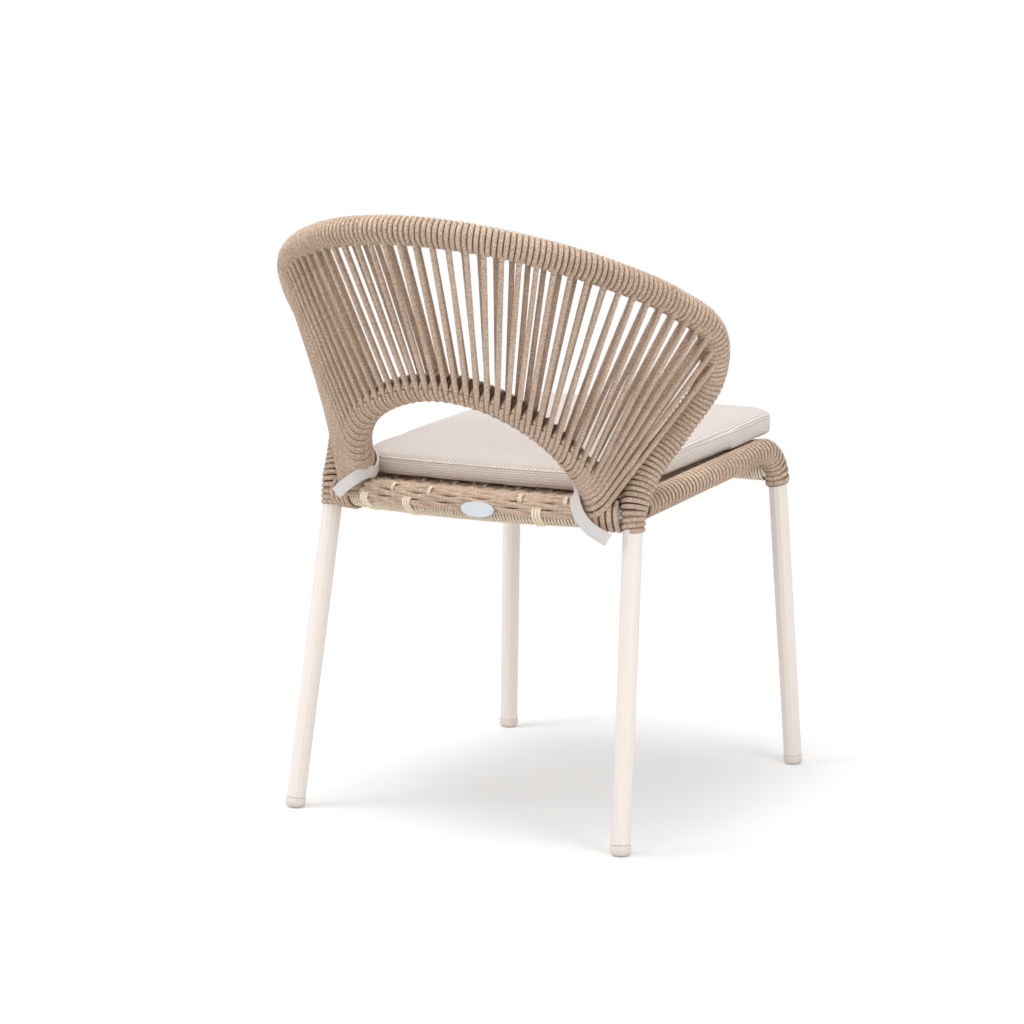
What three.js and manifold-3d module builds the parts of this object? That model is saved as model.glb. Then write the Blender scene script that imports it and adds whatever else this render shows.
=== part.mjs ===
// A rope-woven garden dining chair: a powder-coated steel tube frame, a round rope back that fans
// from an outer hoop down to an inner arch, a woven rope seat and a loose cushion tied on at its
// two rear corners. Millimetres, +Z up, the front faces -Y, and the origin lies on the floor under
// the middle of the chair's outline. "Left" is the sitter's left, which is +X.

import * as THREE from 'three';
import { mergeVertices } from 'three/addons/utils/BufferGeometryUtils.js';
import Module from 'manifold-3d';

const wasm = await Module();
wasm.setup();

// Frame tube
const tubeDiameter = 25;
const tubeWall = 1.5;
const gap = 0.3;                      // left between faces that touch

// Where the legs stand, measured from the middle of the four feet
const rearFootX = 245.5;
const rearFootY = 275;
const frontFootX = 231;
const frontFootY = -275;

// Rear post: the leg carries on up as the hoop, and the side and rear rails meet it here
const rearJointX = 223.5;
const rearJointY = 202.5;
const rearJointZ = 430;

// Front leg: it bends into the side rail, which falls a little towards the back
const frontBendX = 209;
const frontBendY = -249;
const railFrontZ = 455.5;
const railRearZ = 429;
const frontBendRadius = 54;

// Cross rails
const rearRailZ = 420;
const rearRailBow = 37;               // how far the middle lies behind the ends
const frontRailY = -246;
const frontRailZ = 420;

// Back hoop, from the rear joint out to the arms and round the top
const armHalfWidth = 303.5;
const armFrontY = 116.5;
const hoopTopY = 403;
const hoopTopZ = 786.5;
const hoopShares = [                  // of the arm half width, the hoop's depth and its height
  [0.753, 0.218, 0.118], [0.830, 0.063, 0.274], [0.946, 0.000, 0.450], [1.000, 0.103, 0.623],
  [0.928, 0.316, 0.742], [0.731, 0.637, 0.867], [0.471, 0.866, 0.951], [0.247, 0.965, 0.987],
];

// Arch over the rear opening, standing on the rear rail
const archFootX = 179.5;
const archTopY = 309;
const archTopZ = 583.5;
const archShares = [                  // of the foot's half width, the arch's depth and its height
  [0.955, 0.080, 0.260], [0.852, 0.446, 0.550], [0.643, 0.758, 0.783], [0.334, 0.920, 0.942],
];

// Rope windings: the rope lies flatter where it is wound tight
const ropeDiameter = 7.5;
const hoopRopeThickness = 6.2;
const hoopEndRopeThickness = 3.5;     // on the legs, where no strand ends lie under the turns
const hoopEndRings = 3;
const archRopeThickness = 7;
const railRopeThickness = 4;          // drawn flat round the side rails
const ribDepth = 1.4;
const turnsPerRib = 3;
const windingEndZ = 403;              // the windings run down over the tops of the legs to here
const collarTurns = 3;                // turns of rope round the rear rail beside each post
const collarOuterX = 204.5;

// Straw cord wound on the cross rails
const cordThickness = 3;
const cordEndGap = 1;
const frontCordHalfLength = 186;

// Back strands, each a pair of runs between hoop and arch, an outer and an inner one
const strandPieces = 23;
const strandHoopStartShare = 0.1665;  // along the hoop's winding, both ends alike
const strandArchStartShare = 0.053;   // along the arch
const strandsCloseAtFoot = 6;         // side by side at each foot; between the others lies a rope turn
const strandDiameter = 6.6;           // the rope pulled tight
const strandOffset = 11;              // outer and inner strands leave this far from the hoop's centre
const strandLift = 1.2;               // clear of the arch's winding
const strandSpread = 0.22;            // radians to either side at which the two layers reach the arch

// Woven seat: a mat of rope rows slung from side rail to side rail, its last rows lapped over the
// rear rail and down behind it
const seatRise = 11;                  // its top above the side rails' centres
const seatThickness = 9;
const seatSag = 7;
const seatFrontY = -192;
const seatBeforeRail = 19;            // the flat mat ends this far before the rear rail's centre
const seatLapHalfWidth = 151;
const seatLapThickness = 7.7;
const seatEdgeLap = 10;               // its sides stop this far from the side rails' centres

// Loose boxed cushion
const cushionRise = 15;               // its underside above the side rails' centres
const cushionRearHalfWidth = 200;
const cushionFrontHalfWidth = 208;
const cushionRearY = 200;
const cushionFrontY = -266;
const cushionRearCorner = 54;
const cushionFrontCorner = 42;
const cushionBoxing = 26;             // height of the side band
const cushionCrown = 11;              // rise of the top above the side band
const cushionEdge = 5;                // how far the top and bottom edges turn in
const cushionSidePull = 4;            // the sides draw in this far between the corners
const cushionRearBow = 9;             // and the rear side stands out this far, along the rear rail

// Tie straps, from the cushion's rear corners round the arch's feet and down behind the rear rail
const strapWidth = 12;
const strapThickness = 2;
const strapFromPost = 8;              // the strap's middle, inwards from the collar's outer end
const strapTopZ = 460;
const strapClearance = 4;
const strapDrop = 10;                 // how far it sinks on its way round the arch
const strapEndZ = 388;

// Badge on the rear rail, riveted at both ends
const badgeX = -30;
const badgeRise = 3;                  // above the rail's centre
const rivetPitch = 38;
const rivetFromEnd = 5;               // of the badge
const badgeHeight = 20;
const badgeThickness = 1.2;
const rivetDiameter = 2.4;
const rivetHeadDiameter = 4;
const rivetHeadHeight = 0.9;
const rivetClearance = 0.3;

// Foot glides: a cap on the leg's end with a plug inside the tube
const glideHeight = 13;
const glideDiameter = 26.5;
const glideRounding = 7;              // of its lower edge
const glideWearShare = 0.18;          // of that rounding, worn flat by the floor
const glidePlugLength = 18;
const glidePlugClearance = 0.4;

const powderCoat = { color: 0xeee6df, roughness: 0.45, metalness: 0.1 };
const rope = { color: 0xc0a58b, roughness: 0.95, metalness: 0 };
const strawCord = { color: 0xdcc9ae, roughness: 0.8, metalness: 0 };
const fabric = { color: 0xe4dcd6, roughness: 0.95, metalness: 0 };
const glidePlastic = { color: 0xe6ddd5, roughness: 0.5, metalness: 0 };
const badgeMetal = { color: 0xc3cbd3, roughness: 0.35, metalness: 0.6 };

const tubeRadius = tubeDiameter / 2;
const boreRadius = tubeRadius - tubeWall;
const tubeSides = 12;
const hiddenTubeSides = 8;
const windingSides = 8;
const strandSides = 5;

const sides = [['left', 1], ['right', -1]];
const body = new THREE.Group();

function addPart(name, geometry, look) {
  const mesh = new THREE.Mesh(geometry, new THREE.MeshStandardMaterial(look));
  mesh.name = name;
  body.add(mesh);
}

const mix = (from, to, share) => from + (to - from) * share;
const point = (x, y, z) => new THREE.Vector3(x, y, z);
const mirrored = (p) => point(-p.x, p.y, p.z);
const along = (from, direction, distance) => from.clone().addScaledVector(direction, distance);
const atHeight = (from, to, z) => from.clone().lerp(to, (z - from.z) / (to.z - from.z));
const range = (count) => Array.from({ length: count }, (_, i) => i);

// Surfaces

// Turns the faces round if they enclose a negative volume.
function outward(geometry) {
  const at = geometry.getAttribute('position');
  const index = geometry.getIndex().array;
  const corner = (i) => new THREE.Vector3().fromBufferAttribute(at, index[i]);
  let volume = 0;
  for (let i = 0; i < index.length; i += 3) {
    volume += corner(i).dot(corner(i + 1).cross(corner(i + 2)));
  }
  if (volume < 0) {
    for (let i = 0; i < index.length; i += 3) {
      [index[i + 1], index[i + 2]] = [index[i + 2], index[i + 1]];
    }
  }
  geometry.computeVertexNormals();
  return geometry;
}

// A closed surface over rows of points. The rows close on themselves, or both ends are capped.
function skin(rows, closesOnItself) {
  const count = rows[0].length;
  const index = [];
  const joins = closesOnItself ? rows.length : rows.length - 1;
  for (let r = 0; r < joins; r += 1) {
    const a = r * count;
    const b = ((r + 1) % rows.length) * count;
    for (let s = 0; s < count; s += 1) {
      const t = (s + 1) % count;
      index.push(a + s, b + s, b + t, a + s, b + t, a + t);
    }
  }
  if (!closesOnItself) {
    const last = (rows.length - 1) * count;
    for (let s = 1; s < count - 1; s += 1) {
      index.push(0, s, s + 1, last, last + s + 1, last + s);
    }
  }
  const geometry = new THREE.BufferGeometry();
  const positions = rows.flat().flatMap((p) => [p.x, p.y, p.z]);
  geometry.setAttribute('position', new THREE.Float32BufferAttribute(positions, 3));
  geometry.setIndex(index);
  return outward(geometry);
}

// The same surface with its seams joined and its empty faces left out
function closed(geometry) {
  const bare = geometry.clone();
  bare.deleteAttribute('normal');
  bare.deleteAttribute('uv');
  const merged = mergeVertices(bare);
  const index = merged.getIndex().array;
  const kept = [];
  for (let i = 0; i < index.length; i += 3) {
    const [a, b, c] = index.slice(i, i + 3);
    if (a !== b && b !== c && c !== a) kept.push(a, b, c);
  }
  merged.setIndex(kept);
  return outward(merged);
}

// Stations along a route: each has a place and two directions square to the route, carried along
// without twist.
function stationsAlong(points) {
  const last = points.length - 1;
  const heading = (i, j) => points[j].clone().sub(points[i]).normalize();
  const tangents = points.map((p, i) => {
    if (i === 0) return heading(0, 1);
    if (i === last) return heading(last - 1, last);
    return heading(i - 1, i).add(heading(i, i + 1)).normalize();
  });
  const across = Math.abs(tangents[0].x) < Math.SQRT1_2 ? point(1, 0, 0) : point(0, 0, 1);
  let normal = along(across, tangents[0], -across.dot(tangents[0])).normalize();
  return points.map((place, i) => {
    const tangent = tangents[i];
    if (i > 0) {
      const turn = new THREE.Quaternion().setFromUnitVectors(tangents[i - 1], tangent);
      normal = normal.clone().applyQuaternion(turn).normalize();
    }
    return stationAt(place, tangent, normal);
  });
}

function stationAt(place, tangent, near) {
  const normal = along(near, tangent, -near.dot(tangent)).normalize();
  return { place, tangent, normal, side: tangent.clone().cross(normal) };
}

function ringAt(station, radius, count) {
  return range(count).map((s) => {
    const angle = (2 * Math.PI * s) / count;
    const out = along(station.place, station.normal, radius * Math.cos(angle));
    return out.addScaledVector(station.side, radius * Math.sin(angle));
  });
}

const solidTube = (stations, radius, count) =>
  skin(stations.map((s) => ringAt(s, radius, count)), false);

function hollowTube(stations, count) {
  const outer = stations.map((s) => ringAt(s, tubeRadius, count));
  const inner = stations.map((s) => ringAt(s, boreRadius, count)).reverse();
  return skin([...outer, ...inner], true);
}

// Radius of a polygon's corners when its flats lie at this distance from its centre
const cornerRadius = (flatDistance, count) => flatDistance / Math.cos(Math.PI / count);

// Radius of a polygon's corners that gives it the mean radius of a round section
const meanRadius = (radius, count) => (radius * 2) / (1 + Math.cos(Math.PI / count));

// Windings are ribbed sleeves. Ridges and valleys take turns along the stations, and the bore has
// a ring wherever the tube inside it has one.
const ringPitch = (ropeDiameter * turnsPerRib) / 2;
const tubeStep = 3;
const hoopWindingRadius = tubeRadius + hoopRopeThickness;
const archWindingRadius = tubeRadius + archRopeThickness;
const railWindingRadius = tubeRadius + railRopeThickness;
const windingBore = cornerRadius(tubeRadius + gap, windingSides);

function windingStationsAlong(curve) {
  const steps = 2 * tubeStep * Math.round(curve.getLength() / (ringPitch * 2 * tubeStep));
  return stationsAlong(curve.getSpacedPoints(steps));
}
const tubeStationsOf = (stations) => stations.filter((s, i) => i % tubeStep === 0);

function windingSleeve(stations, outerRadius, boreAt, endRings = 0, endRadius = outerRadius) {
  const outer = stations.map((s, i) => {
    const nearEnd = Math.min(i, stations.length - 1 - i) < endRings;
    const ridge = meanRadius(nearEnd ? endRadius : outerRadius, windingSides);
    return ringAt(s, i % 2 ? ridge : ridge - ribDepth, windingSides);
  });
  const inner = stations.filter((s, i) => boreAt(i)).map((s) => ringAt(s, windingBore, windingSides));
  return skin([...outer, ...inner.reverse()], true);
}

function plainSleeve(stations, outerRadius) {
  const outer = stations.map((s) => ringAt(s, meanRadius(outerRadius, windingSides), windingSides));
  const inner = stations.map((s) => ringAt(s, windingBore, windingSides));
  return skin([...outer, ...inner.reverse()], true);
}

// The room that a winding or a tube needs, with the gap round it
function windingRoom(stations, outerRadius) {
  const needed = meanRadius(outerRadius, windingSides) + gap;
  return solidTube(stations, cornerRadius(needed, tubeSides), tubeSides);
}
const tubeRoom = (stations) =>
  solidTube(stations, cornerRadius(tubeRadius + gap, tubeSides), tubeSides);

// A flat strip whose thickness lies along each place's outward direction
function ribbon(places, width, thickness) {
  const stations = stationsAlong(places.map((p) => p.place));
  return skin(stations.map(({ place, tangent }, i) => {
    const across = places[i].out.clone().cross(tangent).normalize();
    const out = tangent.clone().cross(across);
    return [[1, 1], [1, -1], [-1, -1], [-1, 1]].map(([u, v]) => (
      along(along(place, across, (u * width) / 2), out, (v * thickness) / 2)));
  }), false);
}

// Joining and cutting
function toSolid(geometry) {
  const whole = closed(geometry);
  return new wasm.Manifold(new wasm.Mesh({
    numProp: 3,
    vertProperties: new Float32Array(whole.getAttribute('position').array),
    triVerts: new Uint32Array(whole.getIndex().array),
  }));
}

function fromSolid(solid) {
  const mesh = solid.getMesh();
  const geometry = new THREE.BufferGeometry();
  const corners = new Float32Array(mesh.vertProperties);
  geometry.setAttribute('position', new THREE.BufferAttribute(corners, 3));
  geometry.setIndex(new THREE.BufferAttribute(new Uint32Array(mesh.triVerts), 1));
  geometry.computeVertexNormals();
  return geometry;
}

const join = (...shapes) => fromSolid(shapes.map(toSolid).reduce((a, b) => a.add(b)));

// Cuts the tools from the shape and keeps its largest piece.
function cut(shape, ...tools) {
  const rest = tools.map(toSolid).reduce((a, b) => a.subtract(b), toSolid(shape));
  const pieces = rest.decompose().sort((a, b) => b.volume() - a.volume());
  return fromSolid(pieces[0]);
}

// Back hoop: its route starts where the winding ends on the leg, and every third station of the
// winding is a station of the tube inside it.
const rearFoot = (side) => point(side * rearFootX, rearFootY, 0);
const rearJoint = (side) => point(side * rearJointX, rearJointY, rearJointZ);
const windingStart = (side) => atHeight(rearFoot(side), rearJoint(side), windingEndZ);

const hoopHalf = [windingStart(1), rearJoint(1), ...hoopShares.map(([x, y, z]) => point(
  armHalfWidth * x,
  mix(armFrontY, hoopTopY, y),
  mix(rearJointZ, hoopTopZ, z),
))];
const hoopMiddle = point(0, hoopTopY, hoopTopZ);
const hoopCurve = new THREE.CatmullRomCurve3(
  [...hoopHalf, hoopMiddle, ...hoopHalf.map(mirrored).reverse()],
);
const hoopStations = windingStationsAlong(hoopCurve);
const hoopTubeStations = tubeStationsOf(hoopStations);
addPart('back_hoop_tube', hollowTube(hoopTubeStations.slice(1, -1), hiddenTubeSides), powderCoat);

const postRoom = {};
const postWindingRoom = {};
for (const [label, side] of sides) {
  const near = side > 0 ? hoopTubeStations : hoopTubeStations.toReversed();
  const [start, top, next] = near;
  const foot = rearFoot(side);
  const run = start.place.clone().sub(foot).setLength(side);
  const legStart = stationAt(atHeight(foot, start.place, glideHeight + gap), run, start.normal);
  const legEnd = { ...top, place: along(top.place, top.tangent, -side * gap) };
  addPart(`rear_leg_${label}`, hollowTube([legStart, start, legEnd], tubeSides), powderCoat);
  const below = atHeight(foot, start.place, windingEndZ - railWindingRadius);
  postRoom[label] = tubeRoom(stationsAlong([below, start.place, top.place, next.place]));
  postWindingRoom[label] = windingRoom(near.slice(0, 4), hoopWindingRadius);
}

// Front legs, each bent into its side rail
const frontFoot = (side) => point(side * frontFootX, frontFootY, 0);
const bendSteps = 6;
const railRoute = {};
const sideRailRoom = {};
const sideWindingRoom = {};
for (const [label, side] of sides) {
  const corner = point(side * frontBendX, frontBendY, railFrontZ);
  const railEnd = point(side * rearJointX, rearJointY, railRearZ);
  const down = frontFoot(side).sub(corner).normalize();
  const back = railEnd.clone().sub(corner).normalize();
  const halfOpening = down.angleTo(back) / 2;
  const setBack = frontBendRadius / Math.tan(halfOpening);
  const inward = down.clone().add(back).normalize();
  const centre = along(corner, inward, frontBendRadius / Math.sin(halfOpening));
  const first = along(corner, down, setBack).sub(centre);
  const last = along(corner, back, setBack).sub(centre);
  const sweep = first.angleTo(last);
  const bend = range(bendSteps + 1).map((i) => {
    const [before, after] = [bendSteps - i, i].map((n) => Math.sin((n / bendSteps) * sweep));
    const spoke = first.clone().multiplyScalar(before).addScaledVector(last, after);
    return along(centre, spoke, 1 / Math.sin(sweep));
  });
  const foot = atHeight(frontFoot(side), bend[0], glideHeight + gap);
  railRoute[label] = { bend, railEnd };
  sideWindingRoom[label] = windingRoom(stationsAlong([bend.at(-1), railEnd]), railWindingRadius);
  const stations = stationsAlong([foot, ...bend, railEnd]);
  const tube = cut(hollowTube(stations, tubeSides), postRoom[label]);
  addPart(`front_leg_and_side_rail_${label}`, tube, powderCoat);
  sideRailRoom[label] = tubeRoom(stations);
}

// Cross rails, coped to the legs: the rear one is bowed and the front one is straight
const rearRailAt = (x) => point(x, rearJointY + rearRailBow * (1 - (x / rearJointX) ** 2), rearRailZ);
const rearRailHeading = (x) => point(rearJointX ** 2, -2 * rearRailBow * x, 0).normalize();
const rearRailNormal = (x) => point(0, 0, 1).cross(rearRailHeading(x));
const rearRailSteps = 10;
const rearRailXs = range(rearRailSteps + 1).map((i) => mix(rearJointX, -rearJointX, i / rearRailSteps));
const rearRailStations = stationsAlong(rearRailXs.map(rearRailAt));
const rearRailRoom = tubeRoom(rearRailStations);
const frontRailStations = stationsAlong([1, -1].map((side) => (
  point(side * frontBendX, frontRailY, frontRailZ))));
const frontRailRoom = tubeRoom(frontRailStations);

// The seat's last rows lie round the rear rail, from its top to its back.
const lapTurns = [0.5, 0.35, 0.2, 0.04].map((turn) => turn * Math.PI);
const lapRadius = meanRadius(tubeRadius + cordThickness, windingSides) + 2 * gap + seatLapThickness;

// Badge on those rows, tilted to their rounding. Its rivets pass through them into the tube.
const badgeTilt = Math.asin(badgeRise / lapRadius);
const badgeYaw = Math.asin(rearRailHeading(badgeX).y);
function onBadge(geometry, x, height) {
  const placed = geometry.clone().translate(x, lapRadius + gap + height, 0);
  placed.rotateX(badgeTilt).rotateZ(badgeYaw);
  const at = rearRailAt(badgeX);
  return placed.translate(at.x, at.y, at.z);
}
const rivetSpots = [rivetPitch / 2, -rivetPitch / 2];
const rivetDepth = gap + lapRadius - boreRadius;
const rivetHoles = rivetSpots.map((x) => {
  const radius = rivetDiameter / 2 + rivetClearance;
  const hole = new THREE.CylinderGeometry(radius, radius, 2 * rivetDepth, windingSides);
  return onBadge(hole, x, -rivetDepth / 2);
});
const plate = new THREE.CylinderGeometry(badgeHeight / 2, badgeHeight / 2, badgeThickness, 24);
plate.scale((rivetPitch + 2 * rivetFromEnd) / badgeHeight, 1, 1);
addPart('badge_plate', cut(onBadge(plate, 0, badgeThickness / 2), ...rivetHoles), badgeMetal);
for (const [i, [label]] of sides.entries()) {
  const profile = [
    [0, -rivetDepth], [rivetDiameter / 2, -rivetDepth], [rivetDiameter / 2, badgeThickness + gap],
    [rivetHeadDiameter / 2, badgeThickness + gap], [rivetDiameter / 2, badgeThickness + rivetHeadHeight],
    [0, badgeThickness + rivetHeadHeight + gap],
  ];
  const rivet = new THREE.LatheGeometry(profile.map(([r, h]) => new THREE.Vector2(r, h)), windingSides);
  addPart(`badge_rivet_${label}`, onBadge(closed(rivet), rivetSpots[i], 0), badgeMetal);
}

addPart('rear_rail', cut(hollowTube(rearRailStations, hiddenTubeSides), postRoom.left, postRoom.right,
  sideRailRoom.left, sideRailRoom.right, ...rivetHoles), powderCoat);
addPart('front_rail', cut(hollowTube(frontRailStations, hiddenTubeSides), sideRailRoom.left,
  sideRailRoom.right), powderCoat);

// Arch, standing on the rear rail
const archFoot = rearRailAt(archFootX);
const archHalf = [archFoot, ...archShares.map(([x, y, z]) => point(
  archFootX * x,
  mix(archFoot.y, archTopY, y),
  mix(archFoot.z, archTopZ, z),
))];
const archMiddle = point(0, archTopY, archTopZ);
const archCurve = new THREE.CatmullRomCurve3(
  [...archHalf, archMiddle, ...archHalf.map(mirrored).reverse()],
);
const archStations = windingStationsAlong(archCurve);
const archTubeStations = tubeStationsOf(archStations);
const archTube = hollowTube(archTubeStations, hiddenTubeSides);
addPart('arch_tube', cut(archTube, rearRailRoom), powderCoat);
const archRoom = tubeRoom(archTubeStations);

// Cord and rope windings on the rails
function collarStations(side) {
  const rings = range(2 * collarTurns + 1);
  return stationsAlong(rings.map((i) => rearRailAt(side * (collarOuterX - (i * ropeDiameter) / 2))));
}
const collarInnerX = collarOuterX - collarTurns * ropeDiameter;
const collarRadius = tubeRadius + ropeDiameter;
const collarRooms = sides.map(([, side]) => windingRoom(collarStations(side), collarRadius));
for (const [label, side] of sides) {
  const blank = windingSleeve(collarStations(side), collarRadius, (i) => i % (2 * collarTurns) === 0);
  const winding = cut(blank, postWindingRoom[label], sideWindingRoom[label], archRoom);
  addPart(`rail_collar_winding_${label}`, winding, rope);
}

const cordEnds = [1, -1].map((side) => rearRailAt(side * (collarInnerX - cordEndGap)));
const cordStations = stationsAlong([cordEnds[0], ...rearRailXs.filter((x) => (
  Math.abs(x) < cordEnds[0].x)).map(rearRailAt), cordEnds[1]]);
const cordRoom = windingRoom(cordStations, tubeRadius + cordThickness);
addPart('rear_rail_cord', cut(plainSleeve(cordStations, tubeRadius + cordThickness), archRoom,
  ...rivetHoles), strawCord);
const frontCordStations = stationsAlong([1, -1].map((side) => (
  point(side * frontCordHalfLength, frontRailY, frontRailZ))));
addPart('front_rail_cord', plainSleeve(frontCordStations, tubeRadius + cordThickness), strawCord);

for (const [label] of sides) {
  const { bend, railEnd } = railRoute[label];
  const start = bend.at(-1);
  const steps = 2 * Math.round(railEnd.distanceTo(start) / (2 * ringPitch));
  const stations = stationsAlong([...bend,
    ...range(steps).map((i) => start.clone().lerp(railEnd, (i + 1) / steps))]);
  const boreAt = (i) => i <= bendSteps || i === stations.length - 1;
  const blank = windingSleeve(stations, railWindingRadius, boreAt);
  const winding = cut(blank, postWindingRoom[label], frontRailRoom, rearRailRoom);
  addPart(`side_rail_winding_${label}`, winding, rope);
}

const hoopBlank = windingSleeve(hoopStations, hoopWindingRadius, (i) => i % tubeStep === 0,
  hoopEndRings, tubeRadius + hoopEndRopeThickness);
addPart('hoop_winding', cut(hoopBlank, sideRailRoom.left, sideRailRoom.right, rearRailRoom), rope);

// The arch's winding leaves out the first ring at each foot, inside the rail.
const archRings = archStations.slice(1, -1);
const archBlank = windingSleeve(archRings, archWindingRadius, (i) => (
  i === 0 || (i + 1) % tubeStep === 0 || i === archRings.length - 1));
addPart('arch_winding', cut(archBlank, cordRoom, ...collarRooms), rope);

// Back strands: a length of rope comes down from the hoop on the outer side of the back, turns on
// the arch and goes up again on the inner side. Each piece is two such lengths, tied on the arch.
const hoopReach = meanRadius(hoopWindingRadius, windingSides) + gap;
const archReach = meanRadius(archWindingRadius, windingSides) + strandLift + strandDiameter / 2;
const strandStart = Math.sqrt(hoopReach ** 2 - (strandOffset - strandDiameter) ** 2);
const runs = 2 * strandPieces;
const turnsFromFoot = (run) => 2 * run - Math.min(run, strandsCloseAtFoot - 1);
const turnsToMiddle = (turnsFromFoot(strandPieces - 1) + turnsFromFoot(strandPieces)) / 2;
function strandRoute(run) {
  const share = (run + 0.5) / runs;
  const fromFoot = turnsFromFoot(Math.min(run, runs - 1 - run)) / turnsToMiddle;
  const fromMiddle = (run < strandPieces ? -1 : 1) * (1 - fromFoot) * (0.5 - strandArchStartShare);
  const archShare = 0.5 + fromMiddle;
  const low = archCurve.getPointAt(archShare);
  const archTangent = archCurve.getTangentAt(archShare);
  return [1, -1].map((layer) => {
    const hoopShare = mix(strandHoopStartShare, 1 - strandHoopStartShare, share - layer / (4 * runs));
    const high = hoopCurve.getPointAt(hoopShare);
    const hoopTangent = hoopCurve.getTangentAt(hoopShare);
    const offArch = stationAt(low, archTangent, high.clone().sub(low)).normal;
    const turned = offArch.applyAxisAngle(archTangent, layer * strandSpread);
    const onArch = along(low, turned, archReach / Math.cos(strandSpread));
    const down = onArch.clone().sub(high).normalize();
    const out = down.clone().cross(hoopTangent).normalize();
    const slant = down.angleTo(hoopTangent);
    const start = strandStart / Math.sin(slant) + Math.abs(strandDiameter / 2 / Math.tan(slant));
    return { onArch, onHoop: along(along(high, out, layer * strandOffset), down, start) };
  });
}
for (let piece = 0; piece < strandPieces; piece += 1) {
  const routes = [strandRoute(2 * piece), strandRoute(2 * piece + 1)];
  const lengths = routes.map(([outer, inner]) => (
    [outer.onHoop, outer.onArch, inner.onArch, inner.onHoop]));
  const knot = routes.map(([outer]) => outer.onArch);
  const tubes = [...lengths, knot].map((route) => (
    solidTube(stationsAlong(route), strandDiameter / 2, strandSides)));
  addPart(`back_strands_${String(piece + 1).padStart(2, '0')}`, join(...tubes), rope);
}

// Woven seat. Heights are measured from the side rails' centres, which fall towards the back.
const railDrop = (railFrontZ - railRearZ) / (rearJointY - frontBendY);
const railHeight = (y) => railRearZ + (rearJointY - y) * railDrop;
const railSpan = (y) => mix(frontBendX, rearJointX, (y - frontBendY) / (rearJointY - frontBendY));
const seatRows = 6;
const seatColumns = 6;
const seatRings = range(seatRows + 1).map((row) => {
  const share = row / seatRows;
  const straightY = mix(seatFrontY, rearJointY, share);
  const half = railSpan(straightY) - seatEdgeLap;
  const top = range(seatColumns + 1).map((column) => {
    const x = mix(-half, half, column / seatColumns);
    const y = straightY + share ** 2 * (rearRailAt(x).y - seatBeforeRail - rearJointY);
    const sag = seatSag * Math.sin(Math.PI * share) * (1 - (x / half) ** 2);
    return point(x, y, railHeight(straightY) + seatRise - sag);
  });
  return [...top, ...top.map((p) => point(p.x, p.y, p.z - seatThickness)).reverse()];
});
const lapRings = lapTurns.map((turn) => [0, seatLapThickness].flatMap((thickness, under) => {
  const row = range(seatColumns + 1).map((column) => {
    const x = mix(-seatLapHalfWidth, seatLapHalfWidth, column / seatColumns);
    const out = rearRailNormal(x).multiplyScalar(Math.cos(turn)).setZ(Math.sin(turn));
    return along(rearRailAt(x), out, lapRadius - thickness);
  });
  return under ? row.reverse() : row;
}));
// The straps pass down between the mat and the arch's feet.
const strapReach = archWindingRadius + strapClearance + strapThickness;
const archFootRooms = [archTubeStations, archTubeStations.toReversed()].map((stations) => (
  windingRoom(stations.slice(0, 4), strapReach)));
addPart('seat_weave', cut(skin([...seatRings, ...lapRings], false),
  sideWindingRoom.left, sideWindingRoom.right, postWindingRoom.left, postWindingRoom.right,
  ...archFootRooms, cordRoom, ...collarRooms, ...rivetHoles), rope);

// Cushion: one outline, drawn towards its middle for the rounded edges and the crown
const cornerSteps = 4;
const sideSteps = 5;
const cushionCentre = point(0, mix(cushionFrontY, cushionRearY, 0.5), 0);
function cushionOutline() {
  const corners = [
    [cushionRearHalfWidth, cushionRearY, cushionRearCorner, 0],
    [-cushionRearHalfWidth, cushionRearY, cushionRearCorner, 1],
    [-cushionFrontHalfWidth, cushionFrontY, cushionFrontCorner, 2],
    [cushionFrontHalfWidth, cushionFrontY, cushionFrontCorner, 3],
  ].map(([x, y, radius, quarter]) => range(cornerSteps + 1).map((i) => {
    const angle = ((quarter + i / cornerSteps) * Math.PI) / 2;
    const centreX = x - Math.sign(x) * radius;
    const centreY = y - Math.sign(y) * radius;
    return point(centreX + radius * Math.cos(angle), centreY + radius * Math.sin(angle), 0);
  }));
  return corners.flatMap((corner, i) => {
    const next = corners[(i + 1) % corners.length][0];
    const inward = point(0, 1, 0).applyAxisAngle(point(0, 0, 1), ((i + 1) * Math.PI) / 2);
    const reach = i === 0 ? -cushionRearBow : cushionSidePull;
    const side = range(sideSteps - 1).map((j) => {
      const share = (j + 1) / sideSteps;
      const pull = 4 * reach * share * (1 - share);
      return along(corner.at(-1).clone().lerp(next, share), inward, pull);
    });
    return [...corner, ...side];
  });
}
const outline = cushionOutline();
const cushionRing = (inset, height) => outline.map((p) => {
  const moved = p.clone().lerp(cushionCentre, inset);
  return point(moved.x, moved.y, railHeight(moved.y) + cushionRise + height);
});
const edgeInset = cushionEdge / cushionFrontHalfWidth;
const crownInsets = [0.12, 0.28, 0.5, 0.75];
addPart('cushion', skin([
  cushionRing(edgeInset, 0),
  cushionRing(0, cushionEdge),
  cushionRing(0, cushionBoxing - cushionEdge),
  cushionRing(edgeInset, cushionBoxing),
  ...crownInsets.map((inset) => cushionRing(inset, cushionBoxing + cushionCrown * (1 - (1 - inset) ** 4))),
], false), fabric);

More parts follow.
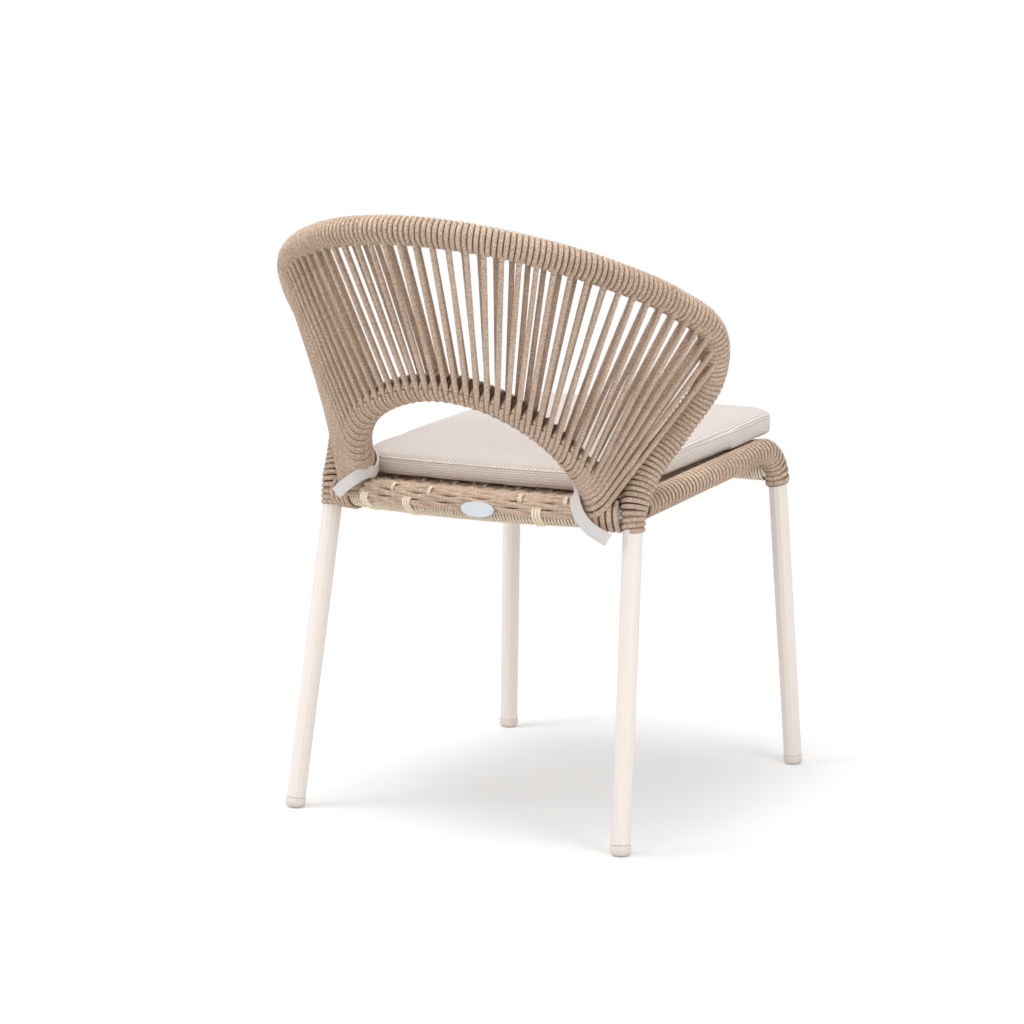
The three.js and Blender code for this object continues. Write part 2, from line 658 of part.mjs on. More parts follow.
// Tie straps. Each place lies off an axis, and the strap's flat side faces that axis.
const strapLift = strapThickness / 2 + strapClearance;
const strapSteps = 10;
const strapSweep = [0.1 * Math.PI, 1.22 * Math.PI];
function archAxisAt(z, side) {
  const half = side > 0 ? archTubeStations : archTubeStations.toReversed();
  const above = half.findIndex((s) => s.place.z > z);
  return { place: atHeight(half[above - 1].place, half[above].place, z), tangent: half[above].tangent };
}
function strapPlace(axisPlace, axisTangent, direction, radius) {
  const out = along(direction, axisTangent, -direction.dot(axisTangent)).normalize();
  return { place: along(axisPlace, out, radius), out };
}
for (const [label, side] of sides) {
  const stepAngle = (strapSweep[1] - strapSweep[0]) / strapSteps;
  const windingReach = cornerRadius(meanRadius(archWindingRadius, windingSides) + strapLift,
    (2 * Math.PI) / stepAngle);
  const archTurn = range(strapSteps + 1).map((i) => {
    const share = i / strapSteps;
    const angle = mix(...strapSweep, share);
    const axis = archAxisAt(strapTopZ - share ** 2 * strapDrop, side);
    const direction = point(side * -Math.sin(angle), -Math.cos(angle), 0);
    return strapPlace(axis.place, axis.tangent, direction, windingReach);
  });
  const railX = side * (collarOuterX - strapFromPost);
  const collarReach = meanRadius(collarRadius, windingSides) + strapLift;
  const railTurn = [0.25, 0.05, -0.15].map((turn) => {
    const direction = point(0, Math.cos(turn * Math.PI), Math.sin(turn * Math.PI));
    return strapPlace(rearRailAt(railX), rearRailHeading(railX), direction, collarReach);
  });
  const tail = { place: railTurn.at(-1).place.clone().setZ(strapEndZ), out: railTurn.at(-1).out };
  const places = [...archTurn, ...railTurn, tail];
  addPart(`tie_strap_${label}`, ribbon(places, strapWidth, strapThickness), fabric);
}

// Foot glides, square to the legs and cut flat on the floor
const glidePlugRadius = boreRadius - glidePlugClearance;
const glideRadius = glideDiameter / 2;
const glideEdge = range(4).map((i) => {
  const turn = (i / 3) * (Math.PI / 2);
  return [
    glideRadius - glideRounding * (1 - Math.sin(turn)),
    glideRounding * (1 - glideWearShare - Math.cos(turn)),
  ];
});
const glideProfile = [
  [0, glideEdge[0][1]], ...glideEdge, [glideRadius, glideHeight], [glidePlugRadius, glideHeight],
  [glidePlugRadius, glideHeight + glidePlugLength], [0, glideHeight + glidePlugLength],
].map(([r, h]) => new THREE.Vector2(r, h));
const underFloor = new THREE.BoxGeometry(4 * armHalfWidth, 4 * armHalfWidth, glideHeight);
underFloor.translate(0, 0, -glideHeight / 2);
for (const [label, side] of sides) {
  const legs = [
    ['rear', rearFoot(side), windingStart(side)],
    ['front', frontFoot(side), railRoute[label].bend[0]],
  ];
  for (const [end, foot, top] of legs) {
    const up = top.clone().sub(foot).normalize();
    const turn = new THREE.Quaternion().setFromUnitVectors(point(0, 1, 0), up);
    const glide = new THREE.LatheGeometry(glideProfile, tubeSides);
    glide.applyQuaternion(turn).translate(foot.x, foot.y, foot.z);
    addPart(`foot_glide_${end}_${label}`, cut(glide, underFloor), glidePlastic);
  }
}

// The origin lies under the middle of the outline.
const middle = new THREE.Box3().setFromObject(body).getCenter(new THREE.Vector3());
for (const mesh of body.children) mesh.geometry.translate(0, -middle.y, 0);

export default body;
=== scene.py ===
# %% [markdown]
# # A rope-woven garden dining chair
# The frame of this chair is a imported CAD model: steel tubes, foot glides and a badge keep their
# CAD shapes here and only get finishes. Everything soft is made in this file: braided rope wound
# on the tubes, the fan of rope strands in the back, the woven seat, straw cord, the tied cushion.
# All lengths are metres. +Z is up, the front faces -Y, and "left" is the sitter's left, which is +X.

import math
import random

import bmesh
import bpy
import numpy as np
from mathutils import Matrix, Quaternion, Vector
from mathutils.bvhtree import BVHTree
from mathutils.geometry import interpolate_bezier
from mathutils.kdtree import KDTree


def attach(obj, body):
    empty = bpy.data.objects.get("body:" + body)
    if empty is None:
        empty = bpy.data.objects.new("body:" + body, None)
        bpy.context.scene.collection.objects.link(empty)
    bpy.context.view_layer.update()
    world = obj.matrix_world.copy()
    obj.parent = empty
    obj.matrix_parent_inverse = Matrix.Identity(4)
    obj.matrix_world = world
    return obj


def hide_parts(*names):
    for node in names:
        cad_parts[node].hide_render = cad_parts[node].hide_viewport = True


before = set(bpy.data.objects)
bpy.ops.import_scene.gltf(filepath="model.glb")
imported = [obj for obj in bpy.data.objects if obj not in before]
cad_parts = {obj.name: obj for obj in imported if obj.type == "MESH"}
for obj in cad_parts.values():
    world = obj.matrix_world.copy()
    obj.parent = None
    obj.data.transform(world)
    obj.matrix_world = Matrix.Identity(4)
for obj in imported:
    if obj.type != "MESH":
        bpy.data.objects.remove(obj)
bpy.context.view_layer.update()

# %% [markdown]
# The camera stands behind the chair, a little above the seat and to its right. It is a long lens
# from over four metres away, so the four legs stay nearly parallel, as in a studio picture.

# %% Camera
CAMERA_PLACE = (-2.0638, 3.67145, 1.0852)
CAMERA_AZIMUTH = 209.70
CAMERA_ELEVATION = 9.39
CAMERA_LENS = 112.5

camera = bpy.data.objects.new("camera", bpy.data.cameras.new("camera"))
camera.data.lens = CAMERA_LENS
camera.data.sensor_width = 36
camera.location = CAMERA_PLACE
camera.rotation_euler = (math.radians(90 - CAMERA_ELEVATION), 0, math.radians(CAMERA_AZIMUTH))
bpy.context.scene.collection.objects.link(camera)
bpy.context.scene.camera = camera
print("camera", [round(n, 3) for n in camera.location])

# %% [markdown]
# ## Routes
# The ropes follow the tubes, so the tubes' centre lines are needed first. Each is a smooth curve
# through a few named points, the same ones that shape the tubes. Points are given from the middle
# of the four feet, and the model's origin lies a little further back, under the middle of its
# outline.

# %% Places on the frame
OUTLINE_MIDDLE = 0.06705
TUBE_RADIUS = 0.0125

REAR_FOOT = (0.2455, 0.275, 0)
REAR_JOINT = (0.2235, 0.2025, 0.430)
FRONT_FOOT = (0.231, -0.275, 0)
FRONT_BEND = (0.209, -0.249, 0.4555)
FRONT_BEND_RADIUS = 0.054
SIDE_RAIL_END = (0.2235, 0.2025, 0.429)
REAR_RAIL_Z = 0.420
REAR_RAIL_BOW = 0.037
FRONT_RAIL = (-0.246, 0.420)

HOOP_TOP = (0, 0.403, 0.7865)
ARM_HALF_WIDTH = 0.3035
ARM_FRONT_Y = 0.1165
HOOP_SHARES = [
    (0.753, 0.218, 0.118), (0.830, 0.063, 0.274), (0.946, 0.000, 0.450), (1.000, 0.103, 0.623),
    (0.928, 0.316, 0.742), (0.731, 0.637, 0.867), (0.471, 0.866, 0.951), (0.247, 0.965, 0.987),
]
ARCH_TOP = (0, 0.309, 0.5835)
ARCH_FOOT_X = 0.1795
ARCH_SHARES = [(0.955, 0.080, 0.260), (0.852, 0.446, 0.550), (0.643, 0.758, 0.783),
               (0.334, 0.920, 0.942)]
WINDING_END_Z = 0.403
SIDES = (1, "left"), (-1, "right")


def spot(x, y, z):
    return Vector((x, y - OUTLINE_MIDDLE, z))


def mix(start, end, share):
    return start + (end - start) * share


def mirrored(place):
    return Vector((-place.x, place.y, place.z))


def rear_rail_at(x):
    bow = REAR_RAIL_BOW * (1 - (x / REAR_JOINT[0]) ** 2)
    return spot(x, REAR_JOINT[1] + bow, REAR_RAIL_Z)


def along_rear_rail(start_x, end_x, steps=60):
    return [rear_rail_at(mix(start_x, end_x, i / steps)) for i in range(steps + 1)]


print("rear posts", 2 * REAR_JOINT[0], "m apart, hoop's top at", HOOP_TOP[2], "m")

# %% Curves through those places
def through(knots, per_span=24):
    """A smooth curve through the knots that doesn't overshoot where they lie close together."""
    ghosts = [2 * knots[0] - knots[1], *knots, 2 * knots[-1] - knots[-2]]
    line = []
    for before, start, end, after in zip(ghosts, ghosts[1:], ghosts[2:], ghosts[3:]):
        a, b, c = (math.sqrt((q - p).length)
                   for p, q in ((before, start), (start, end), (end, after)))
        leave = (start - before) / a - (end - before) / (a + b) + (end - start) / b
        arrive = (end - start) / b - (after - start) / (b + c) + (after - end) / c
        handles = start + leave * b / 3, end - arrive * b / 3
        line += interpolate_bezier(start, *handles, end, per_span + 1)[:-1]
    return [*line, knots[-1]]


def length_of(line):
    return sum((q - p).length for p, q in zip(line, line[1:]))


def evenly(line, steps):
    """The same line with its points at equal distances."""
    spots = np.array(line)
    run = np.concatenate([[0], np.cumsum(np.linalg.norm(np.diff(spots, axis=0), axis=1))])
    wanted = np.linspace(0, run[-1], steps + 1)
    columns = [np.interp(wanted, run, spots[:, k]) for k in range(3)]
    return [Vector(place) for place in zip(*columns)]


def with_frames(line):
    """Each point with its tangent and two directions square to it, carried without twist."""
    tangents = [(after - before).normalized()
                for before, after in zip([line[0], *line], [*line[1:], line[-1]])]
    across = Vector((1, 0, 0)) if abs(tangents[0].x) < math.sqrt(0.5) else Vector((0, 0, 1))
    normal = (across - tangents[0] * across.dot(tangents[0])).normalized()
    stations = []
    for place, before, tangent in zip(line, [tangents[0], *tangents], tangents):
        normal = normal.copy()
        normal.rotate(before.rotation_difference(tangent))
        stations.append((place, tangent, normal, tangent.cross(normal)))
    return stations


class Route:
    """A tube's centre line, read by the share of its length."""

    def __init__(self, line, steps=2000):
        self.line = evenly(line, steps)
        self.length = length_of(self.line)
        self.stations = with_frames(self.line)

    def at(self, share):
        nearest = round(min(max(share, 0), 1) * (len(self.line) - 1))
        return self.stations[nearest][:2]

    def between(self, start, end):
        last = len(self.line) - 1
        return self.line[round(start * last):round(end * last) + 1]


rear_foot, rear_joint = spot(*REAR_FOOT), spot(*REAR_JOINT)
winding_start = rear_foot.lerp(rear_joint, WINDING_END_Z / REAR_JOINT[2])
hoop_half = [winding_start, rear_joint, *(
    spot(ARM_HALF_WIDTH * x, mix(ARM_FRONT_Y, HOOP_TOP[1], y), mix(REAR_JOINT[2], HOOP_TOP[2], z))
    for x, y, z in HOOP_SHARES)]
hoop = Route(through([*hoop_half, spot(*HOOP_TOP), *(mirrored(p) for p in reversed(hoop_half))]))

arch_foot = rear_rail_at(ARCH_FOOT_X)
foot_y = arch_foot.y + OUTLINE_MIDDLE
arch_half = [arch_foot, *(
    spot(ARCH_FOOT_X * x, mix(foot_y, ARCH_TOP[1], y), mix(arch_foot.z, ARCH_TOP[2], z))
    for x, y, z in ARCH_SHARES)]
arch = Route(through([*arch_half, spot(*ARCH_TOP), *(mirrored(p) for p in reversed(arch_half))]))
print(f"hoop {hoop.length:.3f} m, arch {arch.length:.3f} m")

# %% [markdown]
# ## Rope and cord
# A rope is a tube swept along its route. A curve with a round bevel does that, and when it is
# made a mesh it carries a UV map with the share of the length and the way round. Scaled to real
# lengths, that map lets one braid pattern run along every rope at its right size.

# %% Laying a rope
def lay(piece_name, runs, thickness, closed=False, roundness=2):
    """One mesh object of rope for all these runs. Its UV map gives metres along and turns round."""
    laid = bmesh.new()
    for run in runs:
        curve = bpy.data.curves.new(piece_name, "CURVE")
        curve.dimensions = "3D"
        curve.bevel_depth = thickness / 2
        curve.bevel_resolution = roundness
        curve.use_fill_caps = not closed
        spline = curve.splines.new("POLY")
        spline.points.add(len(run) - 1)
        spline.points.foreach_set("co", [n for place in run for n in (*place, 1)])
        spline.use_cyclic_u = closed
        holder = bpy.data.objects.new(piece_name, curve)
        swept = bpy.data.meshes.new_from_object(holder)
        length = length_of(run)
        corners = np.empty(2 * len(swept.loops), np.float32)
        swept.uv_layers[0].data.foreach_get("uv", corners)
        corners[::2] *= length
        swept.uv_layers[0].data.foreach_set("uv", corners)
        laid.from_mesh(swept)
        bpy.data.objects.remove(holder)
        bpy.data.curves.remove(curve)
        bpy.data.meshes.remove(swept)
    return finished_mesh(piece_name, laid, merge=thickness / 100)


def finished_mesh(piece_name, shape, merge=0.0):
    """Closes a bmesh's seams, turns its faces outwards and puts it in the scene."""
    if merge:
        bmesh.ops.remove_doubles(shape, verts=shape.verts, dist=merge)
    bmesh.ops.recalc_face_normals(shape, faces=shape.faces)
    for face in shape.faces:
        face.smooth = True
    mesh = bpy.data.meshes.new(piece_name)
    shape.to_mesh(mesh)
    shape.free()
    piece = bpy.data.objects.new(piece_name, mesh)
    bpy.context.scene.collection.objects.link(piece)
    return piece


def dress(piece, finish, body="chair", replaces=()):
    """Gives a new piece its finish and says what it rides on and stands for."""
    piece.data.materials.clear()
    piece.data.materials.append(finish)
    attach(piece, body)
    if replaces:
        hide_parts(*replaces)
    print(f"{piece.name}: {len(piece.data.polygons)} faces")
    return piece


# %% Winding a rope round a tube
END_LENGTH = 0.035


def coil(line, reach, pitch, per_turn=16, turn_at_start=0.0, end_reach=None):
    """A rope's route round a line, its centre at this reach from it, or nearer at both ends."""
    turns = length_of(line) / pitch
    stations = with_frames(evenly(line, round(turns * per_turn)))
    route = []
    for i, (place, _, normal, side) in enumerate(stations):
        angle = 2 * math.pi * (turn_at_start + i / per_turn)
        from_end = min(i, len(stations) - 1 - i) / per_turn * pitch
        here = mix(end_reach or reach, reach, min(1, from_end / END_LENGTH))
        route.append(place + here * (math.cos(angle) * normal + math.sin(angle) * side))
    return route


# %% [markdown]
# Between tight turns little light gets in. A second UV map says how deep a place lies below the
# turns' crests, so that a finish can be darker there: painted shade in the grooves.

# %% Painted shade in the grooves between turns
def nearest_on(line):
    """A function that gives the line's point nearest to a place, its number and its distance."""
    tree = KDTree(len(line))
    for number, place in enumerate(line):
        tree.insert(place, number)
    tree.balance()
    return tree.find


def press(winding, line, reach, share):
    """Flattens a coil: this share of its thickness stays, measured from the reach of its centre."""
    axis_at = nearest_on(line)
    for vert in winding.data.vertices:
        out = vert.co - axis_at(vert.co)[0]
        vert.co += out * (mix(reach, out.length, share) / out.length - 1)


def mark_groove_shade(winding, line, crest, shallow, deep, end_drop=0.0):
    """A UV map for painted groove shade: it falls from 1 to 0 between these two depths below the
    crest's radius.
    """
    axis_at = nearest_on(line)
    step = length_of(line) / (len(line) - 1)
    depths = []
    for vert in winding.data.vertices:
        _, number, distance = axis_at(vert.co)
        from_end = min(number, len(line) - 1 - number) * step
        here = crest - end_drop * max(0, 1 - from_end / END_LENGTH)
        depths.append(here - distance)
    open_share = np.clip((deep - np.array(depths)) / (deep - shallow), 0, 1)
    corner_verts = np.empty(len(winding.data.loops), np.int32)
    winding.data.loops.foreach_get("vertex_index", corner_verts)
    corners = np.zeros((len(corner_verts), 2), np.float32)
    corners[:, 0] = open_share[corner_verts]
    layer = winding.data.uv_layers.new(name="grooves")
    layer.data.foreach_set("uv", corners.ravel())


# %% [markdown]
# ## Shader arithmetic
# Patterns such as a braid are sums and remainders of coordinates. The class below wraps a node's
# output so that they can be written as plain expressions. Any other node comes from its one
# method, which takes the node's kind, its settings and its inputs.

# %% Wires
class Wire:
    """A node's output that is written like a number."""

    def __init__(self, tree, socket=None):
        self.tree, self.socket = tree, socket

    def node(self, kind, settings=None, inputs=None, output=0):
        made = self.tree.nodes.new(f"ShaderNode{kind}")
        for name, value in (settings or {}).items():
            if name == "stops":
                for stop, (position, color) in zip(made.color_ramp.elements, value):
                    stop.position, stop.color = position, color
            else:
                setattr(made, name, value)
        for name, value in (inputs or {}).items():
            if isinstance(value, Wire):
                self.tree.links.new(value.socket, made.inputs[name])
            else:
                made.inputs[name].default_value = value
        return Wire(self.tree, made.outputs[output])

    def math(self, operation, *others, reverse=False):
        operands = [self, *others]
        if reverse:
            operands.reverse()
        return self.node("Math", {"operation": operation}, dict(enumerate(operands)))

    def __add__(self, other):
        return self.math("ADD", other)

    def __sub__(self, other):
        return self.math("SUBTRACT", other)

    def __mul__(self, other):
        return self.math("MULTIPLY", other)

    def __truediv__(self, other):
        return self.math("DIVIDE", other)

    def __rsub__(self, other):
        return self.math("SUBTRACT", other, reverse=True)

    __radd__ = __add__
    __rmul__ = __mul__

    def axes(self):
        return [self.node("SeparateXYZ", inputs={"Vector": self}, output=k) for k in range(3)]

    def tint(self, low, high):
        """A colour between two, this wire being the share of the second."""
        inputs = {0: self, 6: low, 7: high}
        return self.node("Mix", {"data_type": "RGBA", "clamp_factor": True}, inputs, output=2)

    def wave(self, pitch=1.0, shape="SINE"):
        """Rises and falls between 0 and 1, once in every pitch."""
        return (self * (2 * math.pi / pitch)).math(shape) * 0.5 + 0.5

    def place(self):
        """Where on the piece the surface is, in metres."""
        return self.node("TexCoord", output="Object")

    def uv(self, name):
        return self.node("UVMap", {"uv_map": name}).axes()[:2]

    def noise(self, place, scale, detail):
        return self.node("TexNoise", inputs={"Vector": place, "Scale": scale, "Detail": detail})


# %% Materials and colours
def from_rgb(red, green, blue):
    """A linear colour from the 0 to 255 values that a picture gives."""
    levels = [level / 255 for level in (red, green, blue)]
    return (*(v / 12.92 if v <= 0.04045 else ((v + 0.055) / 1.055) ** 2.4 for v in levels), 1)


def new_finish(name, roughness, **constants):
    """An empty material with these constants on its surface shader."""
    material = bpy.data.materials.new(name)
    material.use_nodes = True
    surface = material.node_tree.nodes["Principled BSDF"]
    surface.inputs["Roughness"].default_value = roughness
    for socket, value in constants.items():
        surface.inputs[socket.replace("_", " ")].default_value = value
    return material, Wire(material.node_tree), surface


def connect(wire, surface, socket):
    wire.tree.links.new(wire.socket, surface.inputs[socket])


def bump(height, surface, depth, strength=1.0):
    inputs = {"Height": height, "Distance": depth, "Strength": strength}
    connect(height.node("Bump", inputs=inputs), surface, "Normal")


# %% [markdown]
# The rope is a braided sheath over a soft core, spun from yarns of several warm grey-browns. The
# braid's strands run round it both ways and pass over and under each other, which makes small
# diamonds. Two slanted counters along the UV map give the diamonds, their parity says which strand
# is on top, and a random value in each diamond gives the speckle.

# %% Braided rope
def with_groove_shade(color, groove_shade_color):
    """This colour where the turns are open to light, and the other one, if any, as painted shade
    between them.
    """
    if groove_shade_color is None:
        return color
    return color.uv("grooves")[0].tint(groove_shade_color, color)


def braided(name, light, dark, groove_shade=None, picks=12, lay_length=0.022):
    material, start, surface = new_finish(name, 0.92, Sheen_Weight=0.08, Sheen_Roughness=0.6)
    along, around = start.uv("UVMap")
    rising = (around + along / lay_length) * picks
    falling = (around - along / lay_length) * picks
    cell_r, cell_f = rising.math("FLOOR"), falling.math("FLOOR")
    over = (cell_r + cell_f).math("PINGPONG", 1)
    share_r, share_f = rising - cell_r, falling - cell_f
    across = share_r * (1 - over) + share_f * over
    ridge = (across * math.pi).math("SINE")
    cell = start.node("CombineXYZ", inputs={"X": cell_r, "Y": cell_f})
    fleck = start.node("TexWhiteNoise", {"noise_dimensions": "2D"}, {"Vector": cell}, "Value")
    weather = start.noise(start.place(), 14, 3)
    shade = fleck * 0.65 + ridge * 0.3 + weather * 0.4 - 0.21
    color = shade.tint(dark, light)
    connect(with_groove_shade(color, groove_shade), surface, "Base Color")
    bump(ridge, surface, 0.0006)
    return material


ROPE_TONES = from_rgb(255, 229, 204), from_rgb(170, 137, 112)
rope_finish = braided("braided rope", *ROPE_TONES)
# Wound rope: a dark brown as painted shade in the grooves between its turns.
shaded_groove_rope = braided("braided rope in turns, painted groove shade", *ROPE_TONES, groove_shade=from_rgb(108, 82, 63))
print("made", rope_finish.name, "and", shaded_groove_rope.name)

# %% [markdown]
# The straw cord is thinner and paler, laid from two strands, so its surface has slanted grooves.

# %% Straw cord
def laid_cord(name, light, dark, groove_shade=None, lay_length=0.009):
    material, start, surface = new_finish(name, 0.75)
    along, around = start.uv("UVMap")
    strand = (around * 2 + along / lay_length).wave()
    patch = start.noise(start.place(), 60, 2)
    color = (strand * 0.5 + patch * 0.7 - 0.1).tint(dark, light)
    connect(with_groove_shade(color, groove_shade), surface, "Base Color")
    bump(strand, surface, 0.0004)
    return material


STRAW_TONES = from_rgb(255, 244, 226), from_rgb(222, 200, 170)
straw_finish = laid_cord("straw cord", *STRAW_TONES)
# Wound straw cord: a brown as painted shade in the grooves between its turns.
shaded_groove_straw = laid_cord("straw cord in turns, painted groove shade", *STRAW_TONES, groove_shade=from_rgb(142, 116, 90))
print("made", straw_finish.name, "and", shaded_groove_straw.name)

# %% [markdown]
# ## Rope on the hoop and the side rails
# One rope is wound tight round the hoop, from the top of one rear leg to the other, about two
# hundred turns. Its ends lie closer to the tube, because no strands lie under them. Round the side
# rails the rope is drawn flat and wide. A helix round each tube's centre line gives the turns, and
# the flat ones are pressed towards the tube afterwards. A second coil on the hoop lies closer to the
# tube and hides it at the bottom of the grooves.

# %% Hoop winding
HOOP_ROPE = 0.0071
HOOP_PITCH = 0.0071
HOOP_REACH = 0.0156
HOOP_END_REACH = 0.0126
SUNK_PITCH = 0.006
SUNK_REACH = 0.0115
# Depths below the crest between which the rope's colour turns into the painted groove shade.
GROOVE_SHADE = (0.0014, 0.0040)

hoop_route = coil(hoop.line, HOOP_REACH, HOOP_PITCH, 14, end_reach=HOOP_END_REACH)
# The sunk coil lies deep enough to be painted nearly all over in the groove shade: a dark layer of
# painted shade in the gaps between the turns.
sunk_route = coil(hoop.line, SUNK_REACH, SUNK_PITCH, 12)
hoop_winding = lay("hoop_rope", [hoop_route, sunk_route], HOOP_ROPE)
mark_groove_shade(hoop_winding, hoop.line, HOOP_REACH + HOOP_ROPE / 2, *GROOVE_SHADE,
             end_drop=HOOP_REACH - HOOP_END_REACH)
dress(hoop_winding, shaded_groove_rope, replaces=["hoop_winding"])

# %% Side rail windings
RAIL_ROPE = 0.0106
RAIL_PITCH = 0.0106
RAIL_REACH = 0.0142
RAIL_PRESS = 0.60
FLAT_GROOVE_SHADE = (0.0005, 0.0019)


def side_rail_line(side):
    """The side tube's centre line from the front bend to the rear post."""
    corner = spot(side * FRONT_BEND[0], *FRONT_BEND[1:])
    rail_end = spot(side * SIDE_RAIL_END[0], *SIDE_RAIL_END[1:])
    down = (spot(side * FRONT_FOOT[0], *FRONT_FOOT[1:]) - corner).normalized()
    back = (rail_end - corner).normalized()
    half_opening = down.angle(back) / 2
    set_back = FRONT_BEND_RADIUS / math.tan(half_opening)
    centre = corner + (down + back).normalized() * FRONT_BEND_RADIUS / math.sin(half_opening)
    first = (corner + down * set_back - centre).normalized()
    last = (corner + back * set_back - centre).normalized()
    bend = [centre + first.slerp(last, i / 16) * FRONT_BEND_RADIUS for i in range(17)]
    return [*bend, rail_end - back * TUBE_RADIUS]


for side, label in SIDES:
    line = side_rail_line(side)
    winding = lay(f"side_rail_rope_{label}", [coil(line, RAIL_REACH, RAIL_PITCH, 20)], RAIL_ROPE)
    axis = evenly(line, 1500)
    press(winding, axis, RAIL_REACH, RAIL_PRESS)
    mark_groove_shade(winding, axis, RAIL_REACH + RAIL_ROPE / 2 * RAIL_PRESS, *FLAT_GROOVE_SHADE)
    dress(winding, shaded_groove_rope, replaces=[f"side_rail_winding_{label}"])

# %% [markdown]
# Beside each rear post the rope makes four turns round the rear rail, which tie the seat to the
# corner.

# %% Corner turns
COLLAR_OUTER_X = 0.2110
COLLAR_INNER_X = 0.178
COLLAR_ROPE = 0.0079
COLLAR_REACH = 0.0172
COLLAR_TURNS = 4

for side, label in SIDES:
    line = along_rear_rail(side * COLLAR_OUTER_X, side * COLLAR_INNER_X, 8)
    route = coil(line, COLLAR_REACH, length_of(line) / COLLAR_TURNS, 16)
    turns = lay(f"corner_rope_{label}", [route], COLLAR_ROPE)
    mark_groove_shade(turns, evenly(line, 60), COLLAR_REACH + COLLAR_ROPE / 2, *GROOVE_SHADE)
    dress(turns, shaded_groove_rope, replaces=[f"rail_collar_winding_{label}"])

# %% [markdown]
# ## The fan of the back
# Forty-six strands stand between hoop and arch, in an outer and an inner layer. Each comes down
# from under the hoop's winding, touches the arch from the side, turns round its inner edge and goes
# up again on the other side. Six strands lie side by side at each foot. Further up the arch is
# longer than the strands are wide, so a turn of rope lies between each two of them.
#
# A strand doesn't meet the arch squarely. It slants along it on its way over the tube and is only
# square to it at the inner edge, so the place where it touches lies further along than its hook.
# The slant of the straight run gives that distance. The lowest strands also lie on the rail's
# rope, which holds them a little off the arch and lets them dip below their hooks.

# %% Where the strands touch hoop and arch
STRAND_RUNS = 46
CLOSE_AT_FOOT = 6
HOOP_START_SHARE = 0.1665
HOOK_START_SHARE = 0.007
ARCH_REACH = 0.0161
ARCH_CONTACT = 1.2
LOWEST_HOOK_RISE = 0.016
LOWEST_CONTACT_DROP = 0.030


def turns_from_foot(run):
    """How many turns of rope lie between the arch's foot and this strand's hook."""
    return 2 * run - min(run, CLOSE_AT_FOOT - 1)


turns_to_middle = (turns_from_foot(STRAND_RUNS // 2 - 1) + turns_from_foot(STRAND_RUNS // 2)) / 2


def hook_share(run):
    """Where a strand's hook, or one between two strands, lies along the arch, and how low it is."""
    from_foot = min(run, STRAND_RUNS - 1 - run)
    turns = (turns_from_foot(math.floor(from_foot)) + turns_from_foot(math.ceil(from_foot))) / 2
    lowness = max(0, 1 - from_foot / CLOSE_AT_FOOT)
    share = mix(HOOK_START_SHARE, 0.5, turns / turns_to_middle) + LOWEST_HOOK_RISE * lowness
    return (share, lowness, 1) if run < STRAND_RUNS / 2 else (1 - share, lowness, -1)


def hoop_place(run, layer):
    share = (run + 0.5) / STRAND_RUNS - layer / (4 * STRAND_RUNS)
    return hoop.at(mix(HOOP_START_SHARE, 1 - HOOP_START_SHARE, share))


def contact_share(run, layer):
    """Where the strand of this layer touches the arch."""
    hook, lowness, side = hook_share(run)
    high, _ = hoop_place(run, layer)
    contact = hook
    for _ in range(3):
        low, tangent = arch.at(contact)
        slope = (high - low).dot(tangent)
        square = ((high - low) - tangent * slope).length
        travel = ARCH_REACH * (math.pi - ARCH_CONTACT) * 2 / math.pi
        contact = hook + travel * slope / square / arch.length
    return contact - side * LOWEST_CONTACT_DROP * lowness


print("first hook at", round(hook_share(0)[0], 3), "of the arch's length")

# %% Strand routes
STRAND_ROPE = 0.0072
STRAND_OFFSET = 0.011
TUCK = 0.008
LOWEST_DIP = 0.014
LOWEST_STAND_OFF = 0.006
ROUNDING_STEP = 0.004
ROUNDING_PASSES = 4


def on_arch(share, angle, away, reach=ARCH_REACH):
    """A place on the arch's rope, this far round from the direction that points away."""
    place, tangent = arch.at(share)
    direction = (away - tangent * away.dot(tangent)).normalized()
    direction.rotate(Quaternion(tangent, angle))
    return place + direction * reach


def rounded(line, step, passes):
    """The same line with its corners rounded and its ends kept."""
    places = np.array(evenly(line, max(4, round(length_of(line) / step))))
    for _ in range(passes):
        places[1:-1] = places[1:-1] / 2 + (places[:-2] + places[2:]) / 4
    return [Vector(place) for place in places]


def hooked(run, steps=24):
    """The part of a run that lies on the arch, from its outer to its inner contact."""
    hook, lowness, side = hook_share(run)
    away = hoop_place(run, 0)[0] - arch.at(hook)[0]
    contacts = contact_share(run, 1), contact_share(run, -1)
    turn = []
    for i in range(steps + 1):
        angle = mix(ARCH_CONTACT, 2 * math.pi - ARCH_CONTACT, i / steps)
        inwards = 1 - abs(2 * i / steps - 1)
        drift = (contacts[0] if 2 * i <= steps else contacts[1]) - hook
        share = hook + drift * (1 - math.sin(math.pi / 2 * inwards))
        share -= side * LOWEST_DIP * lowness * math.sin(math.pi * inwards)
        reach = ARCH_REACH + LOWEST_STAND_OFF * lowness * (1 - inwards)
        turn.append(on_arch(share, angle, away, reach))
    return turn


def strand_route(run):
    turn = hooked(run)
    ends = []
    for layer, landing in ((1, turn[0]), (-1, turn[-1])):
        high, hoop_tangent = hoop_place(run, layer)
        down = (landing - high).normalized()
        out = down.cross(hoop_tangent).normalized()
        ends.append(high + out * layer * STRAND_OFFSET
                    + down * TUCK / math.sin(down.angle(hoop_tangent)))
    return rounded([ends[0], *turn, ends[1]], ROUNDING_STEP, ROUNDING_PASSES)


for piece in range(1, STRAND_RUNS // 2 + 1):
    routes = [strand_route(2 * piece - 2), strand_route(2 * piece - 1)]
    strands = lay(f"strand_rope_{piece:02d}", routes, STRAND_ROPE)
    dress(strands, rope_finish, replaces=[f"back_strands_{piece:02d}"])

